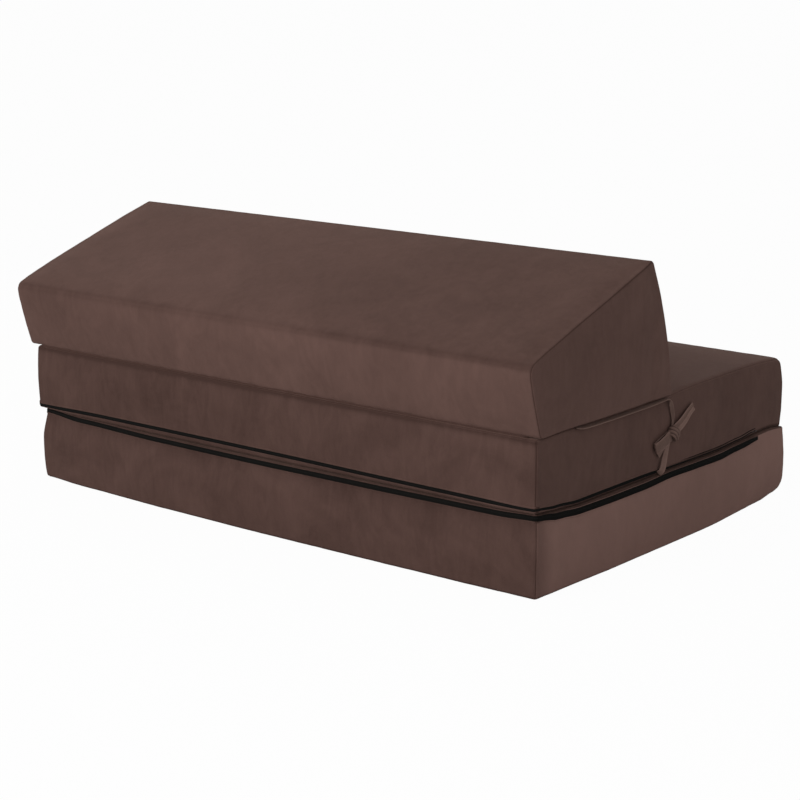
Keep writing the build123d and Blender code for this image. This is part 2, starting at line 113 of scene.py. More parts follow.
# How far each side of a block reaches past its flat face, in millimetres: place along the side, then reach
BASE_REACH = {
    "front": ((-600, -1), (-480, 8), (-255, 14), (0, 16), (215, 15), (432, 12.5), (600, 9)),
    "rear": ((-600, 2), (0, 4), (500, 5), (600, 8)),
    "right": ((-383, 2.5), (-320, 5), (-150, 10), (110, 12), (270, 10), (350, 8), (417, 9)),
    "left": ((-383, -1), (-150, 2), (110, 4), (300, 3), (417, 2)),
}
MIDDLE_REACH = {
    "front": ((-600, 4), (-300, 5), (0, 7), (300, 8), (600, 9)),
    "rear": ((-600, 1), (0, 3), (600, 2)),
    "right": ((-383, 0.5), (-300, 0.5), (-150, 1), (110, 3), (300, 3), (417, 3)),
    "left": ((-383, 2), (0, 3), (417, 2)),
}

# Lines round the folded bed in millimetres, as knots along the front and then along either end: the height
# where base and middle meet, the heights of both zips' middles, and the widths that their covers leave open
MEETING = (
    ((-600, 142), (-486, 139), (-266, 137.5), (0, 138), (269, 139), (523, 140), (600, 142.5)),
    ((0, 142.5), (20, 141), (62, 137), (120, 133), (300, 133), (400, 134.5), (560, 133.5), (650, 137),
     (700, 139.5), (750, 140.5), (800, 136.2)),
)
BASE_ZIP = (
    ((-600, 136.7), (-486, 133.5), (-266, 132), (0, 132.5), (269, 133.5), (523, 134.5), (600, 138)),
    ((0, 138), (18, 136), (61, 130), (119, 125.5), (300, 125.5), (400, 129.5), (480, 128), (560, 126.5),
     (620, 129.5), (700, 133), (800, 132)),
)
MIDDLE_ZIP = (
    ((-600, 148.5), (-400, 151.5), (0, 152.5), (400, 151), (560, 150.5), (600, 151.5)),
    ((0, 152), (60, 146.5), (119, 141.5), (300, 141.5), (420, 139.5), (560, 139), (640, 142.5), (690, 147.2),
     (800, 147.4)),
)
BASE_SLIT = (
    ((-600, 7), (-480, 9), (600, 9.4)),
    ((0, 9.4), (60, 11), (550, 11.8), (650, 10), (705, 6), (800, 0)),
)
MIDDLE_SLIT = (
    ((-600, 6), (-480, 7), (480, 7), (600, 5)),
    ((0, 4.4), (60, 5), (200, 6), (345, 6), (400, 4), (500, 2.4), (710, 2.2), (800, 0)),
)


def eased(value, knots):
    """The value read off a line of (place, value) knots, eased from knot to knot."""
    if value <= knots[0][0]:
        return knots[0][1]
    for (start, low), (end, high) in zip(knots, knots[1:]):
        if value <= end:
            share = (value - start) / (end - start)
            return low + (high - low) * share * share * (3 - 2 * share)
    return knots[-1][1]


def smooth(share):
    """An even step from 0 to 1."""
    share = min(max(share, 0.0), 1.0)
    return share * share * (3 - 2 * share)


def line_height(x, y, lines):
    """The value of a line round the bed at a place on a block's outline, blended round its corners."""
    front, end = eased(x / MM, lines[0]), eased((y - FRONT_Y) / MM, lines[1])
    to_front, to_end, to_rear = (d / MM for d in (abs(y - FRONT_Y), END_X - abs(x), abs(REAR_Y - y)))
    parts = ((front, to_front), (end, max(to_end, 0)), (lines[1][-1][1], to_rear))
    shares = [1 / (distance + 1) ** 3 for _, distance in parts]
    return sum(height * share for (height, _), share in zip(parts, shares)) / sum(shares) * MM


def meeting(x, y):
    """How far above the flat contact plane base and middle meet, fading out towards the middle."""
    inside = min(END_X - abs(x), y - FRONT_Y, REAR_Y - y)
    return (line_height(x, y, MEETING) - BASE_HIGH.z) * (1 - smooth(inside / MEET_FADE))


def loops(low, high, near_low, near_high, step):
    """Loop places between two ends: given distances near each end, and even steps between them."""
    first, last = low + near_low[-1] * MM, high - near_high[-1] * MM
    count = max(1, round((last - first) / (step * MM)))
    middle = [first + (last - first) * i / count for i in range(1, count)]
    return [low + d * MM for d in near_low] + middle + [high - d * MM for d in reversed(near_high)]


def new_object(name, bm):
    """A new smooth object from a bmesh, with its faces pointing outwards."""
    bmesh.ops.recalc_face_normals(bm, faces=bm.faces)
    mesh = bpy.data.meshes.new(name)
    bm.to_mesh(mesh)
    bm.free()
    mesh.polygons.foreach_set("use_smooth", [True] * len(mesh.polygons))
    piece = bpy.data.objects.new(name, mesh)
    bpy.context.scene.collection.objects.link(piece)
    return piece


def box_grid(places, shape):
    """A cube cut into a grid with loops at places along each axis, each vertex put where shape says, and the
    spots of the grid that the vertices stand for."""
    bm = bmesh.new()
    bmesh.ops.create_cube(bm, size=2)
    for axis in range(3):
        edges = [e for e in bm.edges if abs(e.verts[0].co[axis] - e.verts[1].co[axis]) > 1]
        bmesh.ops.subdivide_edges(bm, edges=edges, cuts=len(places[axis]) - 2, use_grid_fill=True)
    spots = []
    for vert in bm.verts:
        spot = [stops[round((vert.co[axis] + 1) / 2 * (len(stops) - 1))] for axis, stops in enumerate(places)]
        vert.co = shape(*spot)
        spots.append(spot)
    return bm, spots


def padded_cover(name, places, shape, hold, detail, nap):
    """A closed cover: a grid blown up a little, subdivided, given its seams and an attribute of painted light
    and shade.
    """
    bm, spots = box_grid(places, shape)
    piece = new_object(name, bm)
    attribute = piece.data.attributes.new("spot", "FLOAT_VECTOR", "POINT")
    attribute.data.foreach_set("vector", [part for spot in spots for part in spot])
    puff(piece, spots, hold)
    subdivide(piece)
    spots = [Vector(item.vector) for item in piece.data.attributes["spot"].data]
    press(piece, spots, detail)
    # Painted light and shade for each panel, with the seam lines, kept as a vertex attribute
    paint(piece, "nap", nap, spots)
    piece.data.attributes.remove(piece.data.attributes["spot"])
    return piece


def strip(lines):
    """An open sheet of quads through lines of points."""
    columns, rows = len(lines) - 1, len(lines[0]) - 1
    bm = bmesh.new()
    bmesh.ops.create_grid(bm, x_segments=columns, y_segments=rows, size=1)
    for vert in bm.verts:
        vert.co = lines[round((vert.co.x + 1) / 2 * columns)][round((vert.co.y + 1) / 2 * rows)]
    return bm


def thick_strip(name, lines, thickness):
    """A strip of cloth with its thickness."""
    bm = strip(lines)
    bmesh.ops.recalc_face_normals(bm, faces=bm.faces)
    bmesh.ops.solidify(bm, geom=bm.faces[:], thickness=thickness)
    return new_object(name, bm)


def subdivide(piece):
    """One round of smooth subdivision, applied."""
    modifier = piece.modifiers.new("Subdivision", "SUBSURF")
    modifier.levels = modifier.render_levels = 1
    graph = bpy.context.evaluated_depsgraph_get()
    mesh = bpy.data.meshes.new_from_object(piece.evaluated_get(graph))
    piece.modifiers.clear()
    old, piece.data = piece.data, mesh
    bpy.data.meshes.remove(old)
    mesh.name = piece.name


def puff(piece, spots, hold):
    """Blows a cover up a little by cloth simulation where hold(spot) is under 1, and keeps the result."""
    sizes = bpy.context.scene.guest_bed_sizes
    rest = [vert.co.copy() for vert in piece.data.vertices]
    group = piece.vertex_groups.new(name="held")
    for index, spot in enumerate(spots):
        group.add([index], hold(Vector(spot)), "REPLACE")
    modifier = piece.modifiers.new("Cloth", "CLOTH")
    settings = modifier.settings
    settings.quality = 4
    settings.mass = 0.3
    settings.tension_stiffness = settings.compression_stiffness = 15
    settings.bending_stiffness = 0.5
    settings.shrink_min = settings.shrink_max = -0.002
    settings.vertex_group_mass = group.name
    settings.use_pressure = True
    settings.uniform_pressure_force = sizes.pressure
    settings.effector_weights.gravity = 0
    modifier.collision_settings.use_collision = False
    modifier.point_cache.frame_start, modifier.point_cache.frame_end = 1, SIMULATED_FRAMES
    scene = bpy.context.scene
    for step in range(1, SIMULATED_FRAMES + 1):
        scene.frame_set(step)
    blown = piece.evaluated_get(bpy.context.evaluated_depsgraph_get()).data
    moved = [vert.co.copy() for vert in blown.vertices]
    piece.modifiers.clear()
    scene.frame_set(1)
    for vert, start, end in zip(piece.data.vertices, rest, moved):
        travel = end - start
        if travel.length > 0:
            travel *= sizes.swell * math.tanh(travel.length / sizes.swell) / travel.length
        vert.co = start + travel
    piece.vertex_groups.clear()


def press(piece, spots, proud):
    """Moves each vertex out along its normal by proud(spot, normal)."""
    moves = [vert.normal * proud(spot, vert.normal) for vert, spot in zip(piece.data.vertices, spots)]
    for vert, move in zip(piece.data.vertices, moves):
        vert.co += move


def paint(piece, name, shade, spots=None):
    """Writes a number for each vertex as an attribute, from shade(spot, normal)."""
    vertices = piece.data.vertices
    spots = spots or [vert.co for vert in vertices]
    attribute = piece.data.attributes.new(name, "FLOAT", "POINT")
    values = [shade(spot, vert.normal) for vert, spot in zip(vertices, spots)]
    attribute.data.foreach_set("value", values)


class Block:
    """A foam block's cover: a box with rounded edges, its sides pushed out as they sit in the photo."""

    def __init__(self, low, high, radii, lift, reach, settle, zip_line, slit, seed, crown=None):
        self.low, self.high, self.radii = low, high, radii
        self.lift, self.reach, self.settle, self.crown = lift, reach, settle, crown
        self.zip_line, self.slit, self.seed = zip_line, slit, seed

    def place(self, x, y, z, proud=0.0):
        """Where a spot of the sharp box lies on the cover, moved out by proud."""
        low, high = self.low, self.high
        at_front = y < (low.y + high.y) / 2
        to_end, to_side = high.x - abs(x), y - low.y if at_front else high.y - y
        inward = inside = min(to_end, to_side)
        upper = z > (low.z + high.z) / 2
        radius = self.radii[upper](x, y)
        depth = high.z - z if upper else z - low.z
        if inward < radius and depth < radius:
            spoke = Vector((inward - radius, depth - radius))
            inside, depth = Vector((radius, radius)) + spoke.normalized() * (radius + proud)
        elif depth <= 0:
            depth -= proud
        else:
            inside -= proud
        to_end, to_side = to_end + inside - inward, to_side + inside - inward
        turn = Vector((CORNER_RADIUS - to_end, CORNER_RADIUS - to_side))
        if turn.x > 0 and turn.y > 0:
            turn *= max(turn) / turn.length
            to_end, to_side = CORNER_RADIUS - turn.x, CORNER_RADIUS - turn.y
        height = high.z - depth if upper else low.z + depth
        across = low.y + to_side if at_front else high.y - to_side
        spot = Vector((math.copysign(high.x - to_end, x), across, height))
        self.push(spot)
        if self.crown and upper:
            spot.z += self.crown(x, y)
        spot.z += self.lift(x, y, z)
        return spot

    def push(self, spot):
        """Moves a spot outwards by its sides' reach, most near each side and nothing at the middle."""
        low, high = self.low, self.high
        share = min(max((spot.z - low.z) / (high.z - low.z), 0), 1)
        bow = SIDE_BOW * (4 * share * (1 - share) - 0.6)
        end = eased(spot.y / MM, self.reach["right" if spot.x > 0 else "left"]) * MM
        front, rear = (eased(spot.x / MM, self.reach[side]) * MM for side in ("front", "rear"))
        inset = self.settle(spot)
        near_rear, near_front = (1 - smooth(d / SIDE_DEPTH / MM) for d in (high.y - spot.y, spot.y - low.y))
        outward = 1 if spot.x > 0 else -1
        spot.x += outward * (end + bow - inset) * smooth(abs(spot.x) / high.x * 2 - 1)
        spot.y += (rear + bow - inset) * near_rear - (front + bow - inset) * near_front

    def on_zip(self, x, y, across, proud):
        """A point on the zip: across is measured up the cover from the zip's middle."""
        height = line_height(x, y, self.zip_line)
        lifted = self.lift(x, y, height if self is MIDDLE else self.high.z)
        return self.place(x, y, height - lifted + across, proud)

    def edge_distance(self, point):
        """How far a point of the cover is from the nearest edge, along the surface."""
        to_end, to_side = seam_distances(point)
        to_level = max(min(point.z - self.low.z, self.high.z - point.z), 0)
        return min(to_end + to_side, to_side + to_level, to_end + to_level)

    def hold(self, spot):
        """Holds the seams, the underside and the top, and frees the sides."""
        flat = spot.z < self.low.z + 2 * MM or spot.z > self.high.z - 0.6 * MM
        return 1.0 if flat else let_go(self.edge_distance(spot))

    def detail(self, spot, normal):
        """How far the cover stands proud: sewn seams drawn in, puckers beside them and a slow waviness."""
        distance, seed = self.edge_distance(spot) / MM, self.seed
        groove = -0.9 * math.exp(-((distance / 1.8) ** 2))
        pucker = 0.5 * ripple(spot, seed, 17) * math.exp(-distance / 16) * smooth(distance / 4)
        corner = min(sum(seam_distances(spot)) + spot.z, 1) / MM
        pleat = 1.2 * ripple(spot, seed + 7, 9) * math.exp(-corner / 14) * smooth(distance / 3)
        wave = 1.3 * ripple(spot, seed + 3, 210) * smooth(distance / 60)
        fold = 0.4 * ripple(spot, seed + 5, 60) * smooth(distance / 20)
        return (groove + pucker + pleat + wave + fold) * MM


def base_lift(x, y, z):
    return meeting(x, y) * smooth(z / BASE_HIGH.z)


def middle_lift(x, y, z):
    sunk = TOE_SINK * (1 - smooth((y - FRONT_Y) / TOE_REACH)) * smooth((z - REST_Z + 60 * MM) / (60 * MM))
    return meeting(x, y) * (1 - smooth((z - MIDDLE_LOW.z) / LIFT_FADE)) - sunk


def base_settle(spot):
    """How far the base's sides draw in: under its top edge, most at the left front, and at its rear foot."""
    top = 1.5 + 4 * smooth(-spot.x / (600 * MM)) * (1 - smooth((spot.y - FRONT_Y) / (300 * MM)))
    right = smooth((spot.x - 0.2) / 0.4)
    foot = (11 * smooth((spot.y - 0.15) / 0.2) + 17 * smooth((spot.y - 0.35) / 0.065)) * right
    foot += 3 * smooth(-spot.x / (600 * MM)) * (1 - smooth((spot.y - FRONT_Y) / (200 * MM)))
    rise = 1 - min(max(spot.z / (36 * MM), 0), 1)
    return (top * smooth((spot.z - 80 * MM) / (50 * MM)) + foot * (1 - math.sqrt(1 - rise * rise))) * MM


def middle_settle(spot):
    """How far the middle block's sides draw in under its top edge, at the rear half of its right end."""
    behind = smooth((spot.y - 0.02) / 0.3) * smooth(spot.x / 0.6)
    return 3 * behind * smooth((spot.z - REST_Z + 50 * MM) / (50 * MM)) * MM


def seat_crown(x, y):
    """The seat's low crown, behind the wedge."""
    share = (y - FRONT_Y - WEDGE_BACK) / (REAR_Y - FRONT_Y - WEDGE_BACK)
    rise = SEAT_RISE + 2.5 * MM * smooth((END_X - abs(x)) / (250 * MM))
    return rise * (1 - abs(2 * share - 1) ** 4) if share > 0 else 0.0


def foot_radius(x, y):
    """The rounding at the foot of the base: sharp in front, soft at the right rear corner."""
    soft = smooth((y - 0.3) / 0.1) * smooth(x / 0.6)
    left = smooth(-x / 0.6)
    return (2.2 + 2 * soft + 3 * left) * MM


def seat_radius(x, y):
    """The rounding at the middle block's top edge: sharp under the wedge's front, soft beside the seat."""
    along_end = smooth((abs(x) - 0.57) / 0.03) * smooth((y + 0.31) / 0.04)
    return (5 + 3 * smooth((y - FRONT_Y - 0.2) / 0.25) + 4 * along_end) * MM


def near_rear_corner(x, y):
    """From 0 to 1 towards a block's rear corners, where base and middle touch with little rounding."""
    return smooth((abs(x) - 0.55) / 0.04) * smooth((y - 0.37) / 0.04)


BASE = Block(
    BASE_LOW, BASE_HIGH, (foot_radius, lambda x, y: (5 - 3.5 * near_rear_corner(x, y)) * MM), base_lift,
    BASE_REACH, base_settle, BASE_ZIP, BASE_SLIT, 1,
)
MIDDLE = Block(
    MIDDLE_LOW, MIDDLE_HIGH, (lambda x, y: (7 - 5 * near_rear_corner(x, y)) * MM, seat_radius), middle_lift,
    MIDDLE_REACH, middle_settle, MIDDLE_ZIP, MIDDLE_SLIT, 11, seat_crown,
)

# Distances from an edge, in millimetres, where a cover has closer loops
NEAR_EDGE = (0, 1.5, 3.2, 5.5, 8.5, 12, 17)
NEAR_ZIP = (0, 1, 2.5, 4.5, 7, 10, 14)


def seam_distances(point):
    """How far a point is from its block's nearest end and from its front or rear."""
    return max(END_X - abs(point.x), 0), max(min(point.y - FRONT_Y, REAR_Y - point.y), 0)


def let_go(distance):
    """How firmly a cover is held at a distance from its nearest seam, from 1 down to 0."""
    return 1 - smooth((distance - 8 * MM) / (16 * MM))


def ripple(point, seed, scale):
    """Even noise from -1 to 1 at a feature size given in millimetres."""
    return noise.noise(point / (scale * MM) + Vector((seed, seed * 1.7, seed * 0.6)))


class Number:
    """A socket of a material's nodes that sums like a number."""

    def __init__(self, finish, socket):
        self.finish, self.socket = finish, socket

    def math(self, operation, *values):
        return self.finish.node("ShaderNodeMath", {"operation": operation}, dict(enumerate(values)))

    def __add__(self, other):
        return self.math("ADD", self, other)

    __radd__ = __add__

    def __sub__(self, other):
        return self.math("SUBTRACT", self, other)

    def __rsub__(self, other):
        return self.math("SUBTRACT", other, self)

    def __mul__(self, other):
        return self.math("MULTIPLY", self, other)

    __rmul__ = __mul__


class Finish:
    """A material or a world made of nodes."""

    def __init__(self, owner):
        owner.use_nodes = True
        self.owner, self.tree = owner, owner.node_tree
        self.tree.nodes.clear()

    def node(self, kind, settings=None, values=None, output=0):
        """Adds a node: its settings first, then its sockets' values or links."""
        node = self.tree.nodes.new(kind)
        for key, value in (settings or {}).items():
            setattr(node, key, value)
        for key, value in (values or {}).items():
            if isinstance(value, Number):
                self.tree.links.new(value.socket, node.inputs[key])
            else:
                node.inputs[key].default_value = value
        return Number(self, node.outputs[output]) if node.outputs else None

    def place(self):
        """Object coordinates."""
        return self.node("ShaderNodeTexCoord", output="Object")

    def noise(self, place, scale, detail=2.0, rough=0.5, twist=0.0):
        """A noise from 0 to 1 with features of about 1 / scale metres."""
        values = {"Vector": place, "Scale": scale, "Detail": detail, "Roughness": rough, "Distortion": twist}
        return self.node("ShaderNodeTexNoise", None, values)

    def mixed(self, share, first, second):
        """Two colours mixed by a share."""
        return self.node("ShaderNodeMix", {"data_type": "RGBA"}, {0: share, 6: first, 7: second}, 2)

    def attribute(self, name):
        return self.node("ShaderNodeAttribute", {"attribute_name": name}, None, "Fac")

    def bump(self, height, strength, distance):
        values = {"Height": height, "Strength": strength, "Distance": distance}
        return self.node("ShaderNodeBump", None, values)

    def surface(self, values):
        """A Principled surface with these sockets set, as the material's output."""
        return self.finished("Material", self.node("ShaderNodeBsdfPrincipled", None, values))

    def finished(self, kind, shader):
        """Ends the nodes of a material or a world with this shader."""
        self.node(f"ShaderNodeOutput{kind}", None, {"Surface": shader})
        return self.owner


def toned(colour, factor):
    """A colour made lighter or darker by a factor, with full alpha."""
    return tuple(min(part * factor, 1.0) for part in colour[:3]) + (1.0,)


WARM_SHEEN = (0.9, 0.62, 0.5, 1.0)


def velvet(name, colour):
    """Velvet: a pile whose tone drifts and streaks, a fine grain, and each cover's painted light and shade.
    """
    finish = Finish(bpy.data.materials.new(name))
    place = finish.place()
    drift = finish.noise(place, 7.0, 4.0, 0.6, 0.8)
    stretched = finish.node("ShaderNodeMapping", None, {"Vector": place, "Scale": (1.0, 1.0, 0.35)})
    brushed_and_painted_light = finish.noise(stretched, 46.0, 3.0, 0.6, 1.2)
    grain = finish.noise(place, 1300.0, 2.0, 0.7)
    # Painted light and shade for each panel, with dark seam lines, read from the cover's attribute
    panel_light_and_seams = finish.attribute("nap")
    shade = (drift - 0.5) * 0.32 + (brushed_and_painted_light - 0.5) * 0.16 + (grain - 0.5) * 0.22 + panel_light_and_seams
    # The lighter, greyer end of the tone range
    lighter_greyer_tone = (colour[0], colour[1] * 1.1, colour[2] * 1.14)
    tone = finish.mixed(shade, toned(colour, 0.4), toned(lighter_greyer_tone, 2.0))
    rough = 0.82 + (drift - 0.5) * 0.2
    normal = finish.bump(grain * 0.7 + brushed_and_painted_light * 0.3, 0.35, 0.0007)
    return finish.surface({
        "Base Color": tone, "Roughness": rough, "Normal": normal, "Specular IOR Level": 0.06,
        "Sheen Weight": 0.1, "Sheen Roughness": 0.4, "Sheen Tint": WARM_SHEEN,
    })


def woven(name, colour, pitch, sheen):
    """A plain woven tape with its threads along and across."""
    finish = Finish(bpy.data.materials.new(name))
    place = finish.place()
    bands = {"Vector": place, "Scale": 0.32 / (pitch * MM), "Distortion": 0.3, "Detail": 1.0}
    across = finish.node("ShaderNodeTexWave", {"bands_direction": "Z"}, bands)
    along = finish.node("ShaderNodeTexWave", {"bands_direction": "DIAGONAL"}, bands)
    thread = across * 0.5 + along * 0.5
    wear = finish.noise(place, 60.0, 3.0, 0.6)
    # Threads and worn patches, with painted shade and highlights on the ties from their attribute
    light = thread * 0.25 + wear * 0.25 + 0.2 - finish.attribute("crease") * 0.45
    tone = finish.mixed(light, toned(colour, 0.35), toned(colour, 1.9))
    return finish.surface({
        "Base Color": tone, "Roughness": 0.85 - wear * 0.1, "Normal": finish.bump(thread, 0.5, 0.0003),
        "Specular IOR Level": 0.03, "Sheen Weight": sheen, "Sheen Roughness": 0.5, "Sheen Tint": WARM_SHEEN,
    })


def moulded(name, colour, rough, metallic, gloss):
    """Painted metal or nylon with small scuffs."""
    finish = Finish(bpy.data.materials.new(name))
    place = finish.place()
    scuff = finish.noise(place, 350.0, 3.0, 0.6)
    speck = finish.noise(place, 1800.0, 2.0, 0.5)
    tone = finish.mixed(scuff, toned(colour, 0.7), toned(colour, 1.5))
    return finish.surface({
        "Base Color": tone, "Roughness": rough + (scuff - 0.5) * 0.3, "Metallic": metallic,
        "Normal": finish.bump(speck, 0.2, 0.0001), "Specular IOR Level": gloss,
    })


def seam_line(distance):
    """The dark line of a sewn seam, as a darker value of the cover's attribute, from the distance to it."""
    return -0.3 * math.exp(-((distance / (1.3 * MM)) ** 2))


# Each slot's finish: its name, how it's made, and pitch and sheen, or roughness, metallic and gloss
FINISHES = {
    "velvet": ("brown_velvet", velvet),
    "zip_tape": ("black_zip_tape", woven, 0.6, 0.0),
    "zip_coil": ("black_nylon_coil", moulded, 0.85, 0.0, 0.1),
    "zip_metal": ("painted_zip_metal", moulded, 0.4, 0.3, 0.45),
    "hinge_cloth": ("brown_hinge_cloth", woven, 0.9, 0.05),
    "tie_cloth": ("brown_tie_cloth", woven, 0.7, 0.08),
}


def finish_for(slot):
    """The material of a slot, made once."""
    name, maker, *settings = FINISHES[slot]
    colour = getattr(bpy.context.scene.guest_bed_colours, slot)
    return bpy.data.materials.get(name) or maker(name, colour, *settings)


def dress(piece, slot, body, *nodes):
    """Gives a piece the material of its slot, ties it to the body that it rides on and hides the nodes that
    it stands for.
    """
    piece.data.materials.clear()
    piece.data.materials.append(finish_for(slot))
    if body:
        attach(piece, body)
    if nodes:
        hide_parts(*nodes)
    return piece


def names_of(body, *kinds):
    """The names of a body's pieces or nodes of these kinds."""
    return [f"{body}_{kind}" for kind in kinds]


BOX_PANELS = ("foam_core", "front_panel", "rear_panel", "right_end_panel", "left_end_panel", "bottom_panel",
              "top_panel")
WEDGE_PANELS = ("foam_core", "slope_panel", "back_panel", "base_panel", "right_end_panel", "left_end_panel")


def base_seams_and_painted_light(spot, normal):
    """Painted light and shade on the base, with seam lines: ends lit lighter than the front, less so near it.
    """
    side = smooth((abs(normal.x) - 0.6) / 0.3)
    back = spot.y - FRONT_Y
    # Painted light: the ends lighter than the front, less near the front corner
    light = (0.7 + 0.11 * smooth(spot.y / 0.4)) * side * (0.45 + 0.55 * smooth(back / (50 * MM)))
    under_zip = BASE_HIGH.z - 12 * MM - spot.z
    # Painted shadow on the front just below the zip
    shade = -0.06 * math.exp(-((under_zip / (14 * MM)) ** 2)) * smooth(-normal.y)
    # Painted shade on the ends in the recess between the two zips
    painted_shade_between_zips = -0.75 * smooth((spot.z - BASE_HIGH.z + 3 * MM) / (3 * MM)) * side
    foot_seam = -0.3 * math.exp(-((spot.z / (3 * MM)) ** 2))
    return 0.13 + light + shade + painted_shade_between_zips + foot_seam + seam_line(sum(seam_distances(spot)))


def middle_seams_and_painted_light(spot, normal):
    """Painted light and shade on the middle block, with seam lines: darker at the ends' lower lip, lighter on
    the seat.
    """
    side = smooth((abs(normal.x) - 0.6) / 0.3)
    lip = 1 - smooth((spot.z - MIDDLE_LOW.z - 3 * MM) / (6 * MM))
    top = smooth((normal.z - 0.5) / 0.4)
    under_hem = MIDDLE_HIGH.z - TOE_SINK - spot.z
    # Painted shade on the front: darker towards the left, with a painted shadow just under the wedge's hem
    front = 0.1 + 0.07 * smooth((spot.x + 0.2) / 0.8)
    front -= 0.18 * math.exp(-((under_hem / (6.5 * MM)) ** 2)) * smooth(-normal.y * 2)
    # Painted light on the ends and the seat, and painted shade in the recess at the ends' lower lip
    brushed_and_painted_light = (0.09 + 0.03 * smooth(spot.y / 0.4)) * side + 0.2 * top - 0.5 * lip * side
    return front + brushed_and_painted_light + seam_line(sum(seam_distances(spot)))


def wedge_seams_and_painted_light(spot, normal):
    """Painted shade on the wedge, with its end seams: a soft darker band along its brow, and a darker top
    towards the right.
    """
    brow = math.hypot(spot.y * WEDGE_BACK, (1 - spot.z) * WEDGE_MID_HEIGHT)
    band = math.exp(-(((brow - 5 * MM) / (9 * MM)) ** 2))
    end = smooth((abs(normal.x) - 0.6) / 0.3)
    right = smooth((spot.x + 0.25) / 0.7) * smooth(normal.z * 2)
    end_seam = wedge_distance(spot)[1]
    front = smooth(-normal.y * 2 - 0.6)
    left, outer = smooth(-spot.x * 2), smooth(abs(spot.x) * 2)
    # Painted shade: the front darker towards both ends, most at the left, and the rest a little darker
    shade = 0.02 * (1 - front) + (0.05 + 0.03 * left + 0.04 * outer) * front
    shade += 0.07 * band * (1 - end) + 0.1 * right
    return 0.36 - shade + seam_line(end_seam)


BLOCKS = {"base": (BASE, base_seams_and_painted_light), "middle": (MIDDLE, middle_seams_and_painted_light)}


def build_block(name, high_loops):
    """One flat block's cover, blown up a little, subdivided and given its seams."""
    block, nap = BLOCKS[name]
    xs = loops(block.low.x, block.high.x, NEAR_EDGE, NEAR_EDGE, LOOP_STEP)
    ys = loops(block.low.y, block.high.y, NEAR_EDGE, NEAR_EDGE, LOOP_STEP)
    zs = loops(block.low.z, block.high.z, NEAR_EDGE, high_loops, BLOCK_HEIGHT_STEP)
    piece = padded_cover(f"{name}_cover", (xs, ys, zs), block.place, block.hold, block.detail, nap)
    return dress(piece, "velvet", name, *names_of(name, *BOX_PANELS))


# The corners of the wedge's section, as (y, z), and the rounding at its toe, heel, ridge and brow
TOE = Vector((FRONT_Y, WEDGE_Z))
HEEL = Vector((FRONT_Y + WEDGE_BACK, WEDGE_Z))
RIDGE = Vector((FRONT_Y + WEDGE_BACK - WEDGE_TOP_SETBACK, WEDGE_Z + WEDGE_HEIGHT))
BROW = Vector((FRONT_Y - WEDGE_OVERHANG, WEDGE_Z + WEDGE_FRONT_HEIGHT))
WEDGE_CORNERS = (TOE, HEEL, RIDGE, BROW)
WEDGE_RADII = (7 * MM, 6 * MM, 5 * MM, 18 * MM)
WEDGE_MID_HEIGHT = WEDGE_HEIGHT * 0.75

# How far the wedge's ends reach past their flat faces, in millimetres: place from its front, then reach
WEDGE_RIGHT_REACH = ((-40, -6), (0, -5), (60, -3), (200, 0), (290, -1), (323, -3.5), (350, -1.5), (395, -1))
WEDGE_LEFT_REACH = ((-40, 13), (30, 13), (200, 8), (395, 2))


def round_corner(point, corner, a, b, radius):
    """Moves a point near a flat shape's sharp corner, whose sides leave along a and b, onto nested arcs."""
    det = a.x * b.y - a.y * b.x
    d = point - corner
    da, db = (d.x * b.y - d.y * b.x) / det, (a.x * d.y - a.y * d.x) / det
    half = a.angle(b) / 2
    depth = max(min(da, db), 0)
    left, along = radius / math.tan(half) - depth, abs(da - db)
    if left <= 0 or along >= left:
        return point
    own = corner + (a + b) * depth
    bisector = (a + b).normalized()
    small = left * math.tan(half)
    centre = own + bisector * (small / math.sin(half))
    side = a if da > db else b
    tangent = (own + side * left - centre).normalized()
    whole, share = math.pi / 2 - half, along / left
    way = -bisector * math.sin(whole * (1 - share)) + tangent * math.sin(whole * share)
    return centre + way / math.sin(whole) * small


def wedge_section(s, t, crown):
    """A point of the wedge's section: s from its front to its back, t from its base to its slope."""
    point = (TOE * (1 - s) + HEEL * s) * (1 - t) + (BROW * (1 - s) + RIDGE * s) * t
    slope = (RIDGE - BROW).normalized()
    front = (BROW - TOE).normalized()
    back = (RIDGE - HEEL).normalized()
    point += Vector((-slope.y, slope.x)) * crown * 4 * s * (1 - s) * t
    point += Vector((-front.y, front.x)) * WEDGE_FRONT_BOW * 4 * t * (1 - t) * (1 - s)
    point += Vector((back.y, -back.x)) * WEDGE_BACK_BOW * 4 * t * (1 - t) * smooth((t - 0.06) / 0.2) * s
    for i, (corner, radius) in enumerate(zip(WEDGE_CORNERS, WEDGE_RADII)):
        before, after = ((WEDGE_CORNERS[k % 4] - corner).normalized() for k in (i - 1, i + 1))
        point = round_corner(point, corner, before, after, radius)
    return point


